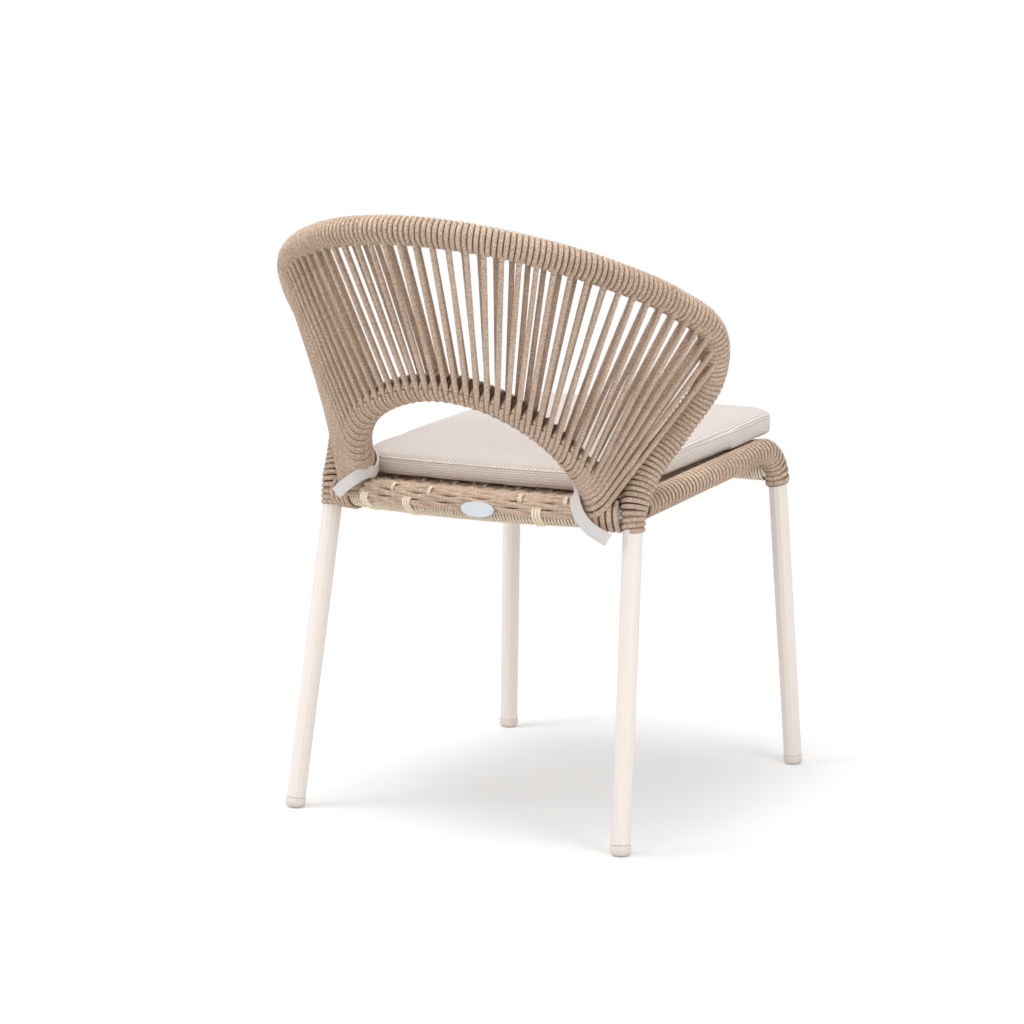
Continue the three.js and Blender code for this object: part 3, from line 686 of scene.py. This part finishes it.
# %% [markdown]
# Between the fanned strands the arch has its own turns of rope. Such a turn follows its two
# neighbours round the inner edge, and its top passes behind them, close to the tube. Both feet have
# a close winding under the strands, and a sunk coil hides the tube along the whole arch.

# %% Arch winding
ARCH_ROPE = 0.0070
TUCKED_REACH = 0.0142
FOOT_PITCH = 0.006
FOOT_REACH = TUBE_RADIUS + 0.003
FOOT_SHARES = (0.030, 0.110)


def between_turn(run, top_steps=10):
    """A closed turn half way between this strand and the next."""
    turn = hooked(run + 0.5)
    outer, inner = contact_share(run + 0.5, 1), contact_share(run + 0.5, -1)
    away = hoop_place(run + 0.5, 0)[0] - arch.at(hook_share(run + 0.5)[0])[0]
    top = []
    for i in range(1, top_steps):
        share = i / top_steps
        angle = mix(-ARCH_CONTACT, ARCH_CONTACT, share)
        reach = mix(TUCKED_REACH, ARCH_REACH, abs(2 * share - 1) ** 2)
        top.append(on_arch(mix(inner, outer, share), angle, away, reach))
    return [*turn, *top, turn[0]]


low, high = FOOT_SHARES
arch_turns = [coil(arch.between(*span), FOOT_REACH, FOOT_PITCH)
              for span in ((low, high), (1 - high, 1 - low))]
# This sunk coil, too, lies deep enough to be painted all over in the groove shade: painted shade in the
# gaps between the turns.
arch_turns.append(coil(arch.between(low, 1 - low), SUNK_REACH, FOOT_PITCH))
arch_turns += [between_turn(run) for run in range(CLOSE_AT_FOOT - 1, STRAND_RUNS - CLOSE_AT_FOOT)]
arch_rope = lay("arch_rope", arch_turns, ARCH_ROPE)
mark_groove_shade(arch_rope, arch.line, ARCH_REACH + ARCH_ROPE / 2, *GROOVE_SHADE)
dress(arch_rope, shaded_groove_rope, replaces=["arch_winding"])

# %% [markdown]
# ## Straw cord on the cross rails
# Both cross rails are wound with straw cord, two cords side by side, which makes the turns slant.
# On the rear rail a few groups of turns reach over the seat's last rope row and hold it down.

# %% Rail cords
CORD = 0.0040
CORD_PITCH = 0.0086
CORD_REACH = TUBE_RADIUS + 0.0019
CORD_GROOVE_SHADE = (0.0005, 0.0018)
REAR_CORD_HALF = 0.181
FRONT_CORD_HALF = 0.197
HOLD_DOWNS = (0.146, 0.077, -0.107)
HOLD_LIFT = 0.0012
HOLD_BULGE = 0.0088
HOLD_BULGE_DEGREES = 24
LAP_DEGREES = (119, 90, 61, 33, 6)

rear_cord_line = along_rear_rail(REAR_CORD_HALF, -REAR_CORD_HALF)
front_cord_line = [spot(side * FRONT_CORD_HALF, *FRONT_RAIL) for side in (1, -1)]


def round_rear_rail(x, degrees, reach):
    """A place round the rear rail: 90 degrees is its top and 0 its back."""
    before, after = rear_rail_at(x - 0.001), rear_rail_at(x + 0.001)
    back = Vector((0, 0, 1)).cross(after - before).normalized()
    angle = math.radians(degrees)
    return rear_rail_at(x) + reach * (back * math.cos(angle) + Vector((0, 0, math.sin(angle))))


def hold_down(x, steps=24):
    """One cord turn round the rail that reaches over the last rope row."""
    turn = []
    for i in range(steps):
        degrees = i * 360 / steps - 180
        bulge = HOLD_BULGE * math.exp(-((degrees - LAP_DEGREES[-1]) / HOLD_BULGE_DEGREES) ** 2)
        turn.append(round_rear_rail(x, degrees, CORD_REACH + HOLD_LIFT + bulge))
    return turn


for rail, line in (("rear_rail", rear_cord_line), ("front_rail", front_cord_line)):
    pair = [coil(line, CORD_REACH, CORD_PITCH, 14, start) for start in (0, 0.5)]
    cords = lay(f"{rail}_straw", pair, CORD, roundness=1)
    mark_groove_shade(cords, evenly(line, 400), CORD_REACH + CORD / 2, *CORD_GROOVE_SHADE)
    dress(cords, shaded_groove_straw, replaces=[f"{rail}_cord"])
holds = [hold_down(x + k * CORD) for x in HOLD_DOWNS for k in (-1, 0, 1)]
dress(lay("hold_down_cords", holds, CORD, closed=True, roundness=1), straw_finish)

# %% [markdown]
# ## The woven seat
# The seat is a mat of rope rows that run from side rail to side rail, two twisted ropes to a row.
# The rows bow with the rear rail, sag a little in the middle, and the last ones lie over the rail
# and down behind it. Small loops of straw cord tie the rows together, staggered from row to row.
# Each rope of a pair is a line that waves across and up, the other one half a wave later. Behind
# the rail the pairs are drawn nearly straight.

# %% Places on the seat
LAP_REACH = 0.0194
SEAT_CENTRE_RISE = 0.0068
SEAT_SAG = 0.007
SEAT_FRONT_Y = -0.220
SEAT_BEFORE_RAIL = 0.019
SEAT_EDGE_LAP = 0.010
RAIL_DROP = (FRONT_BEND[2] - SIDE_RAIL_END[2]) / (SIDE_RAIL_END[1] - FRONT_BEND[1])


def rail_height(y):
    return SIDE_RAIL_END[2] + (SIDE_RAIL_END[1] - y) * RAIL_DROP


def row_half_length(y):
    share = (y - FRONT_BEND[1]) / (SIDE_RAIL_END[1] - FRONT_BEND[1])
    return mix(FRONT_BEND[0], SIDE_RAIL_END[0], share) - SEAT_EDGE_LAP


def seat_place(row_share, x, across, lift):
    """A place in the flat of the seat, with small offsets towards the back and upwards."""
    straight = mix(SEAT_FRONT_Y, REAR_JOINT[1], row_share)
    half = row_half_length(straight)
    bow = rear_rail_at(x).y + OUTLINE_MIDDLE - SEAT_BEFORE_RAIL - REAR_JOINT[1]
    sag = SEAT_SAG * math.sin(math.pi * row_share) * (1 - (x / half) ** 2)
    y = straight + row_share ** 2 * bow + across
    return spot(x, y, rail_height(straight) + SEAT_CENTRE_RISE - sag + lift)


def lap_place(degrees, x, across, lift):
    """The same on the rows that lie round the rear rail."""
    return round_rear_rail(x, degrees - math.degrees(across / LAP_REACH), LAP_REACH + lift)


print("seat slope", round(math.degrees(math.atan(RAIL_DROP)), 1), "degrees")

# %% Seat rows
SEAT_ROPE = 0.0068
SEAT_ROW_PITCH = 0.0098
SEAT_TWIST = 0.047
SEAT_WAVE = (0.0023, 0.0019)
STEPS_PER_TWIST = 12
LAP_HALF_LENGTH = 0.156
STRAIGHT_LAP_BELOW = 100
STRAIGHT_WAVE = 0.45
STRAIGHT_APART = SEAT_ROPE * 0.9

flat_rows = round((REAR_JOINT[1] - SEAT_FRONT_Y) / SEAT_ROW_PITCH)
rows = [(seat_place, i / flat_rows, row_half_length(mix(SEAT_FRONT_Y, REAR_JOINT[1], i / flat_rows)))
        for i in range(flat_rows + 1)]
rows += [(lap_place, degrees, LAP_HALF_LENGTH) for degrees in LAP_DEGREES]

chance = random.Random(7)
seat_runs = []
for row_at, where, half in rows:
    steps = round(2 * half / SEAT_TWIST * STEPS_PER_TWIST)
    phase = chance.uniform(-0.5, 0.5)
    calm = STRAIGHT_WAVE if row_at == lap_place and where < STRAIGHT_LAP_BELOW else 1
    for twin in (0, math.pi):
        run = []
        for i in range(steps + 1):
            x = mix(-half, half, i / steps)
            turn = 2 * math.pi * x / SEAT_TWIST + phase + twin
            apart = (0.5 - twin / math.pi) * (1 - calm) * STRAIGHT_APART
            across = apart + SEAT_WAVE[0] * calm * math.cos(turn)
            run.append(row_at(where, x, across, SEAT_WAVE[1] * calm * math.sin(turn)))
        seat_runs.append(run)
dress(lay("seat_rope", seat_runs, SEAT_ROPE, roundness=1), rope_finish,
      replaces=["seat_weave"])

# %% Straw loops in the seat
KNOT_PITCH = 0.047
KNOTS_PER_ROW = 9
KNOT_SCATTER = 0.002
KNOTTED_LAP_DEGREES = 61
LAP_KNOTS = (0.105, 0.047, -0.083, -0.142)
PLAIN_REAR_ROWS = 3
KNOTS_FROM_EDGE = 0.030
KNOT_CORD = 0.0027
KNOT_REACH = (0.0068, 0.0062)


def knot_loop(row_at, where, x, points=10):
    """A closed loop of straw cord round one row."""
    turns = [2 * math.pi * i / points for i in range(points)]
    return [row_at(where, x, KNOT_REACH[0] * math.cos(turn), KNOT_REACH[1] * math.sin(turn))
            for turn in turns]


knots = []
for number, (row_at, where, half) in enumerate(rows):
    start = (number // 2 % 2) * KNOT_PITCH / 2 - KNOTS_PER_ROW // 2 * KNOT_PITCH
    spots = [start + k * KNOT_PITCH + chance.uniform(-KNOT_SCATTER, KNOT_SCATTER)
             for k in range(KNOTS_PER_ROW)]
    if number > flat_rows - PLAIN_REAR_ROWS:
        spots = LAP_KNOTS if where == KNOTTED_LAP_DEGREES else ()
    for x in spots:
        if row_at == lap_place or abs(x) <= half - KNOTS_FROM_EDGE:
            knots += [knot_loop(row_at, where, x + twin * KNOT_CORD) for twin in (-0.5, 0.5)]
dress(lay("seat_straw", knots, KNOT_CORD, closed=True, roundness=0), straw_finish)
print(len(seat_runs), "seat ropes,", len(knots), "straw loops")

# %% [markdown]
# ## The cushion
# The cushion is a boxed pad: a top and a bottom panel with a narrow band between them. It starts
# as a flat rounded panel that is drawn up to a box, a little smaller than the finished one. Cloth
# simulation with air pressure then swells it as its filling does, and the cap on the movement
# keeps it a firm pad instead of a balloon.

# %% Cushion blank
CUSHION_RISE = 0.0150
CUSHION_REAR = (0.200, 0.200, 0.054)
CUSHION_FRONT = (0.212, -0.273, 0.042)
CUSHION_BAND = 0.026
CUSHION_CROWN = 0.011
CUSHION_CROWN_REACH = 0.035
CUSHION_SIDE_BOW = 0.003
CUSHION_FRONT_PULL = 0.004
CUSHION_REAR_BOW = 0.009
CUSHION_ROOM = 0.003


def cushion_floor(y):
    """Height of the cushion's underside at this place, measured in the model's frame."""
    return rail_height(y + OUTLINE_MIDDLE) + CUSHION_RISE


def cushion_panel(room):
    """The flat outline of the pad, drawn in by this much."""
    panel = bmesh.new()
    corners = []
    for half, y, _ in (CUSHION_REAR, CUSHION_FRONT):
        edge = math.copysign(abs(y) - room, y)
        corners.append([panel.verts.new(spot(side * (half - room), edge, 0)) for side in (1, -1)])
    panel.faces.new([corners[0][0], corners[0][1], corners[1][1], corners[1][0]])
    for pair, (_, _, radius) in zip(corners, (CUSHION_REAR, CUSHION_FRONT)):
        bmesh.ops.bevel(panel, geom=pair, offset=radius, offset_type="OFFSET", affect="VERTICES",
                        segments=10, profile=0.5, material=-1)
    long_edges = [edge for edge in panel.edges if edge.calc_length() > 0.1]
    bmesh.ops.subdivide_edges(panel, edges=long_edges, cuts=15)
    return panel


def bowed(place):
    """Where a place of the straight-sided pad really lies: the front drawn in, the rest bowed out."""
    half_depth = (CUSHION_REAR[1] - CUSHION_FRONT[1]) / 2
    middle_y = (CUSHION_REAR[1] + CUSHION_FRONT[1]) / 2 - OUTLINE_MIDDLE
    u = place.x / ((CUSHION_REAR[0] + CUSHION_FRONT[0]) / 2)
    v = (place.y - middle_y) / half_depth
    bow = CUSHION_REAR_BOW if v > 0 else -CUSHION_FRONT_PULL
    x = place.x + CUSHION_SIDE_BOW * u * max(0, 1 - v * v)
    return Vector((x, place.y + bow * v * max(0, 1 - u * u), place.z))


panel = cushion_panel(CUSHION_ROOM)
face = panel.faces[:][0]
print("cushion panel", len(face.verts), "corners,", round(face.calc_area(), 4), "m2")

# %% [markdown]
# The band is drawn up from the panel and the box is remeshed into even small faces, because cloth
# needs them. Its top is raised towards the middle, so that the pressure starts from a crown. The
# cap on the swelling is soft, like a cover that stretches less and less, and leaves no edge.

# %% The box of the cushion
VOXEL = 0.005


def outline_of(room):
    """The pad's outline as one closed line, for measuring along it."""
    flat = cushion_panel(room)
    line = [vert.co.copy() for vert in flat.faces[:][0].verts]
    flat.free()
    return [*line, line[0]]


def drawn_up(panel):
    """The flat panel made a low box."""
    raised = bmesh.ops.extrude_face_region(panel, geom=panel.faces[:])["geom"]
    lifted = [item for item in raised if isinstance(item, bmesh.types.BMVert)]
    bmesh.ops.translate(panel, verts=lifted, vec=(0, 0, CUSHION_BAND))
    return panel


def applied(piece):
    """The mesh as the piece's modifiers leave it, which then is the piece's own."""
    depsgraph = bpy.context.evaluated_depsgraph_get()
    result = bpy.data.meshes.new_from_object(piece.evaluated_get(depsgraph))
    piece.modifiers.clear()
    piece.data = result
    return result


def soften(piece, passes):
    smooth = piece.modifiers.new("soft edges", "SMOOTH")
    smooth.factor, smooth.iterations = 0.5, passes


def evened(box):
    """Even faces with softened edges."""
    remesh = box.modifiers.new("even faces", "REMESH")
    remesh.mode = "VOXEL"
    remesh.voxel_size = VOXEL
    soften(box, 4)
    return applied(box)


def crowned(skin):
    """Raises the top away from its edges and sets the pad on the seat's slope."""
    outline_at = nearest_on(cushion_outline)
    for vert in skin.vertices:
        _, _, inset = outline_at((*vert.co.xy, 0))
        share = 1 - math.exp(-inset / CUSHION_CROWN_REACH)
        if vert.co.z > CUSHION_BAND / 2:
            vert.co.z += CUSHION_CROWN * share
        vert.co = bowed(vert.co)
        vert.co.z += cushion_floor(vert.co.y)


cushion_outline = evenly(outline_of(0), 600)
outline_length = length_of(cushion_outline)
cushion = finished_mesh("cushion_pad", drawn_up(panel))
crowned(evened(cushion))
print("cushion", len(cushion.data.polygons), "faces, outline", round(outline_length, 3), "m")

# %% Swelling the cushion
FILLING = {"use_pressure": True, "uniform_pressure_force": 4, "mass": 0.3, "bending_stiffness": 2}
FILLING_FRAMES = 20
CAP_UP = 0.004
CAP_SIDE = 0.0025


def swollen(pad):
    """Fills the pad with air pressure in a cloth simulation, up to a soft cap."""
    start = [vert.co.copy() for vert in pad.data.vertices]
    cloth = pad.modifiers.new("filling", "CLOTH")
    for name, value in FILLING.items():
        setattr(cloth.settings, name, value)
    cloth.settings.effector_weights.gravity = 0
    for number in range(1, FILLING_FRAMES + 1):
        bpy.context.scene.frame_set(number)
    filled = applied(pad)
    bpy.context.scene.frame_set(1)
    for vert, origin in zip(filled.vertices, start):
        move = vert.co - origin
        side = max(move.xy.length, 1e-9)
        move.xy = move.xy * math.tanh(side / CAP_SIDE) * CAP_SIDE / side
        move.z = CAP_UP * math.tanh(max(move.z, 0) / CAP_UP)
        vert.co = origin + move
        vert.co.z = max(vert.co.z, cushion_floor(vert.co.y))
    soften(pad, 6)
    applied(pad)


swollen(cushion)
for face in cushion.data.polygons:
    face.use_smooth = True
heights = [vert.co.z - cushion_floor(vert.co.y) for vert in cushion.data.vertices]
print("cushion now", round(max(heights), 4), "m thick at its crown")

# %% [markdown]
# Two cloths meet on the cushion: the panels have fine ribs from front to back, and the band has a
# pebbled basket weave. The height above the seat's slope tells them apart, so no mesh edge is
# needed between them. The band's weave runs along the outline, which a UV map holds.

# %% Cushion cloth map
BAND_LINE = [bowed(place) for place in cushion_outline[:-1]]


def map_band(mesh):
    """A UV map with metres along the outline and metres above the seat's slope."""
    outline_at = nearest_on(BAND_LINE)
    step = outline_length / len(BAND_LINE)
    around = [outline_at((*vert.co.xy, 0))[1] * step for vert in mesh.vertices]
    layer = mesh.uv_layers.new(name="band")
    for face in mesh.polygons:
        first = around[face.vertices[0]]
        for corner in face.loop_indices:
            vert = mesh.vertices[mesh.loops[corner].vertex_index]
            u = around[vert.index]
            u += outline_length * round((first - u) / outline_length)
            layer.data[corner].uv = (u, vert.co.z - cushion_floor(vert.co.y))


map_band(cushion.data)
print("band map on", len(cushion.data.loops), "face corners")

# %% Cushion cloth
RIB_PITCH = 0.0037
WEFT_PITCH = RIB_PITCH * 1.15
PEBBLE_LENGTH, PEBBLE_HEIGHT = 0.0036, 0.0033
LOWER_SEAM = 0.0015


def cushion_cloth():
    material, start, surface = new_finish("cushion cloth", 0.9, Sheen_Weight=0.3, Sheen_Roughness=0.5)
    x, y, _ = start.place().axes()
    along, height = start.uv("band")
    rib, weft = x.wave(RIB_PITCH), y.wave(WEFT_PITCH)
    panel_height = rib * 0.75 + rib * weft * 0.35
    row = (height / PEBBLE_HEIGHT).math("FLOOR")
    stagger = along / PEBBLE_LENGTH + row * 0.5
    pebble = stagger.wave(shape="COSINE") * (1 - height.wave(PEBBLE_HEIGHT, "COSINE"))
    on_band = height.math("LESS_THAN", CUSHION_BAND) * height.math("GREATER_THAN", LOWER_SEAM)
    weave = panel_height * (1 - on_band) + pebble * on_band
    cloud = start.noise(start.place(), 9, 4)
    panel_color = (rib * 0.75 + rib * weft * 0.25 + cloud * 0.25 - 0.1).tint(
        from_rgb(184, 174, 166), from_rgb(232, 224, 218))
    band_color = (pebble * 1.4 + cloud * 0.4 - 0.25).tint(
        from_rgb(214, 203, 194), from_rgb(248, 244, 241))
    connect(on_band.tint(panel_color, band_color), surface, "Base Color")
    bump(weave, surface, 0.0006)
    return material


pad_finish = cushion_cloth()
smoothing = cushion.modifiers.new("smooth cloth", "SUBSURF")
smoothing.levels = smoothing.render_levels = 1
dress(cushion, pad_finish, "cushion_body", ["cushion"])

# %% [markdown]
# The panels are sewn to the band with a fine thread seam. It is laid on the finished pad: each
# point of the outline is dropped on the nearest place of the cushion's surface.

# %% Cushion seams
SEAM_THREAD = 0.0011


def seam_line(mesh, height):
    """A closed line on the pad's surface at this height above the seat's slope."""
    tree = BVHTree.FromObject(mesh, bpy.context.evaluated_depsgraph_get())
    line = []
    for place in BAND_LINE:
        target = Vector((place.x, place.y, cushion_floor(place.y) + height))
        found, normal, _, _ = tree.find_nearest(target)
        line.append(found + normal * SEAM_THREAD * 0.1)
    return line


thread_finish = laid_cord("seam thread", from_rgb(224, 212, 200), from_rgb(186, 170, 154),
                          lay_length=0.004)
seams = [seam_line(cushion, CUSHION_BAND), seam_line(cushion, 0.002)]
dress(lay("cushion_seams", seams, SEAM_THREAD, closed=True, roundness=0), thread_finish,
      "cushion_body")

# %% [markdown]
# ## Tie straps
# Two flat webbing straps hold the cushion's rear corners. Each goes round the arch's foot above the
# rail and ends slantwise behind the corner turns, where the left one is cut short. A strap is one
# edge of its width that is extruded from place to place, with a thickness added at the end.

# %% Strap routes
STRAP_WIDTH = 0.0165
STRAP_THICKNESS = 0.0026
STRAP_CLEARANCE = 0.0042
STRAP_TOP_Z = 0.470
STRAP_DROP = 0.013
STRAP_SWEEP = (-54, 92)
STRAP_STEP = 0.003
ARCH_WINDING_RADIUS = 0.0195
LEFT_TAIL = [(0.157, 0.167, 0.453, 0.6), (0.165, 0.1755, 0.447, 0.45), (0.177, 0.1795, 0.438, 0.4),
             (0.188, 0.1790, 0.429, 0.35), (0.195, 0.1775, 0.423, 0.3)]
RIGHT_TAIL = [(0.155, 0.165, 0.450, 0.5), (0.160, 0.1740, 0.438, 0.2), (0.168, 0.1785, 0.424, 0),
              (0.179, 0.1780, 0.411, -0.1), (0.192, 0.1750, 0.402, -0.25), (0.206, 0.1700, 0.394, -0.3)]


def arch_axis_at(height, side):
    """The arch foot's centre line at this height, on one side."""
    low, high = (0, 0.25) if side > 0 else (1, 0.75)
    for _ in range(24):
        middle = (low + high) / 2
        if arch.at(middle)[0].z < height:
            low = middle
        else:
            high = middle
    return arch.at(low)


def strap_places(side, tail):
    """Round the arch's foot from the front by its inner side, then along the points of the tail."""
    places = []
    for share in np.linspace(0, 1, 17):
        angle = math.radians(mix(*STRAP_SWEEP, share))
        centre, tangent = arch_axis_at(STRAP_TOP_Z - share ** 2 * STRAP_DROP, side)
        direction = Vector((-side * math.sin(angle), -math.cos(angle), 0))
        out = (direction - tangent * direction.dot(tangent)).normalized()
        places.append((centre + out * (ARCH_WINDING_RADIUS + STRAP_CLEARANCE), out))
    for x, y, z, sideways in tail:
        places.append((Vector((side * x, y, z)), Vector((-side * sideways, 1, 0.15)).normalized()))
    return places


def strap_stations(places):
    """Even steps along the strap: the place, half its width sideways, and the length so far."""
    spots, outs = zip(*places)
    line = rounded(spots, STRAP_STEP, 3)
    reached = [length_of(spots[:k + 1]) for k in range(len(spots))]
    wanted = np.linspace(0, reached[-1], len(line))
    turned = [np.interp(wanted, reached, column) for column in zip(*outs)]
    run, previous = 0.0, line[0]
    for (place, tangent, _, _), out in zip(with_frames(line), zip(*turned)):
        run += (place - previous).length
        previous = place
        yield place, Vector(out).cross(tangent).normalized() * STRAP_WIDTH / 2, run


straps = {label: strap_places(side, tail)
          for (side, label), tail in zip(SIDES, (LEFT_TAIL, RIGHT_TAIL))}
for label, places in straps.items():
    print(label, "strap", round(length_of([place for place, _ in places]), 3), "m")


# %% Straps
def strap(piece_name, places):
    """Webbing along these places; its UV map gives metres across and along."""
    band = bmesh.new()
    layer = band.loops.layers.uv.new("webbing")
    edge = None
    for place, across, run in strap_stations(places):
        if edge is None:
            edge = band.edges.new([band.verts.new(place + across), band.verts.new(place - across)])
            ends = {vert: sign for vert, sign in zip(edge.verts, (1, -1))}
            continue
        grown = bmesh.ops.extrude_edge_only(band, edges=[edge])["geom"]
        face = next(item for item in grown if isinstance(item, bmesh.types.BMFace))
        new_edge = next(item for item in face.edges if not set(item.verts) & set(edge.verts))
        new_ends = {}
        for vert in new_edge.verts:
            neighbour = next(v for e in vert.link_edges for v in e.verts if v in ends)
            new_ends[vert] = ends[neighbour]
            vert.co = place + across * new_ends[vert]
        for loop in face.loops:
            sign = {**ends, **new_ends}[loop.vert]
            step = run if loop.vert in new_ends else run - STRAP_STEP
            loop[layer].uv = (sign * STRAP_WIDTH / 2, step)
        edge, ends = new_edge, new_ends
    piece = finished_mesh(piece_name, band)
    body = piece.modifiers.new("webbing thickness", "SOLIDIFY")
    body.thickness, body.offset = STRAP_THICKNESS, 0
    soft = piece.modifiers.new("soft edges", "BEVEL")
    soft.width, soft.segments = STRAP_THICKNESS * 0.4, 2
    return piece


# %% Webbing
WARP_PITCH = 0.0024
WEBBING_WEFT_PITCH = 0.0030


def webbing_finish():
    """Plain woven webbing: warp ribs along the strap, crossed by weft in every second one."""
    material, start, surface = new_finish("cotton webbing", 0.9, Sheen_Weight=0.2)
    across, along = start.uv("webbing")
    warp = (across * (2 * math.pi / WARP_PITCH)).math("COSINE")
    weft = (along * (2 * math.pi / WEBBING_WEFT_PITCH)).math("COSINE")
    weave = warp * weft * 0.5 + 0.5
    connect((weave * 0.8 + 0.1).tint(from_rgb(196, 190, 186), from_rgb(240, 238, 236)), surface,
            "Base Color")
    bump(weave, surface, 0.0004)
    return material


strap_finish = webbing_finish()
for label, places in straps.items():
    dress(strap(f"strap_{label}", places), strap_finish,
          replaces=[f"tie_strap_{label}"])

# %% [markdown]
# ## Finishes for the CAD parts
# The tubes are powder coated in a warm white. The powder melts to a satin skin with a very fine
# orange peel, so the finish has a small bump, a little unevenness in its gloss and nothing else.
# The glides: moulded plastic of the same tone, with painted shade near the floor. The badge: brushed
# metal, left blank.

# %% Powder coat, plastic and badge metal
def powder_coat():
    material, start, surface = new_finish("cream powder coat", 0.42)
    places = start.place()
    peel, cloud = start.noise(places, 900, 1), start.noise(places, 7, 3)
    connect(cloud.tint(from_rgb(238, 228, 219), from_rgb(244, 236, 229)), surface, "Base Color")
    connect(cloud * 0.12 + 0.36, surface, "Roughness")
    bump(peel, surface, 0.00012, 0.5)
    return material


FLOOR_SHADE_HEIGHT = 0.010


def glide_plastic():
    material, start, surface = new_finish("moulded glide plastic", 0.5)
    places = start.place()
    grain, shade_noise = start.noise(places, 1400, 2), start.noise(places, 120, 5)
    # Painted shade: the glide's colour darkens towards the floor in its lowest part, broken up by
    # noise.
    floor_shade = (1 - places.axes()[2] / FLOOR_SHADE_HEIGHT) * shade_noise
    connect(floor_shade.tint(from_rgb(233, 224, 215), from_rgb(196, 186, 176)), surface, "Base Color")
    bump(grain, surface, 0.0001, 0.4)
    return material


def badge_metal():
    material, start, surface = new_finish("brushed badge metal", 0.34, Metallic=0.75)
    x, y, z = start.place().axes()
    streaks = start.node("CombineXYZ", inputs={"X": x * 40, "Y": y * 40, "Z": z * 4000})
    brushed = start.noise(streaks, 1.0, 2)
    connect(brushed.tint(from_rgb(192, 198, 205), from_rgb(218, 222, 228)), surface, "Base Color")
    connect(brushed * 0.2 + 0.28, surface, "Roughness")
    bump(brushed, surface, 0.00005, 0.3)
    return material


CAD_PARTS = [
    (powder_coat(), ("rear_leg", "front_leg", "back_hoop", "arch_tube", "rear_rail", "front_rail")),
    (glide_plastic(), ("foot_glide",)),
    (badge_metal(), ("badge",)),
]
for finish, starts in CAD_PARTS:
    nodes = [node for name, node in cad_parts.items()
             if name.startswith(starts) and not name.endswith("cord")]
    for node in nodes:
        for slot in node.material_slots:
            slot.material = finish
    print(finish.name, "on", len(nodes), "parts")

# %% [markdown]
# ## Studio
# The chair stands on a plain white floor under broad soft light. The floor answers the camera with
# some light of its own, so that it reaches white where nothing shades it and keeps the chair's
# soft shadow. The world is white to the camera and to reflections, and gentler as a light.

# %% Floor
FLOOR_HALF = 6.0
FLOOR_GAP = 0.0005
FLOOR_GLOW = 0.22
FLOOR_FADE = (0.6, 1.2)
WORLD_LIGHT = 0.52


def studio_floor():
    """A wide plane just below the glides."""
    flat = bmesh.new()
    bmesh.ops.create_grid(flat, x_segments=1, y_segments=1, size=FLOOR_HALF)
    bmesh.ops.translate(flat, verts=flat.verts, vec=(0, 0, -FLOOR_GAP))
    return finished_mesh("floor", flat)


def soft_lamp(name, place, target, size, power):
    lamp = bpy.data.objects.new(name, bpy.data.lights.new(name, "AREA"))
    lamp.data.shape = "SQUARE"
    lamp.data.size = size
    lamp.data.energy = power
    lamp.location = place
    aim = Vector(target) - Vector(place)
    lamp.rotation_euler = aim.to_track_quat("-Z", "Y").to_euler()
    bpy.context.scene.collection.objects.link(lamp)
    return lamp


def floor_finish():
    """White paint that adds some light of its own for the camera, and only white far away."""
    material, start, surface = new_finish("studio floor", 0.9, Base_Color=(0.8, 0.8, 0.8, 1))
    surface.inputs["Specular IOR Level"].default_value = 0
    seen = start.node("LightPath", output="Is Camera Ray")
    glow = start.node("Emission", inputs={"Color": (1, 1, 1, 1), "Strength": seen * FLOOR_GLOW})
    both = start.node("AddShader", inputs={0: Wire(start.tree, surface.outputs[0]), 1: glow})
    x, y, _ = start.place().axes()
    distance = (x * x + y * y).math("SQRT")
    fade = distance.node("MapRange", {"interpolation_type": "SMOOTHSTEP"},
                         {"Value": distance, "From Min": FLOOR_FADE[0], "From Max": FLOOR_FADE[1]})
    plain = start.node("Emission", inputs={"Color": (1, 1, 1, 1), "Strength": seen})
    whole = start.node("MixShader", inputs={0: fade * seen, 1: both, 2: plain})
    start.tree.links.new(whole.socket, start.tree.nodes["Material Output"].inputs["Surface"])
    return material


floor = studio_floor()
floor.data.materials.append(floor_finish())

world = bpy.data.worlds.new("studio")
world.use_nodes = True
bpy.context.scene.world = world
sky = world.node_tree.nodes["Background"]
path = Wire(world.node_tree).node("LightPath", output="Is Camera Ray")
mirror = path.node("LightPath", output="Is Glossy Ray")
brightness = path.math("MAXIMUM", mirror) * (1 - WORLD_LIGHT) + WORLD_LIGHT
world.node_tree.links.new(brightness.socket, sky.inputs["Strength"])
sky.inputs["Color"].default_value = (1, 1, 1, 1)

soft_lamp("overhead", place=(0.2, 0.3, 2.8), target=(0, 0, 0.4), size=1.6, power=46)
soft_lamp("left of the camera", place=(2.6, 2.4, 1.8), target=(0, 0, 0.5), size=1.8, power=44)
soft_lamp("right of the camera", place=(-3.0, 1.2, 1.5), target=(0, 0, 0.5), size=1.6, power=36)
bpy.context.scene.view_settings.view_transform = "Standard"
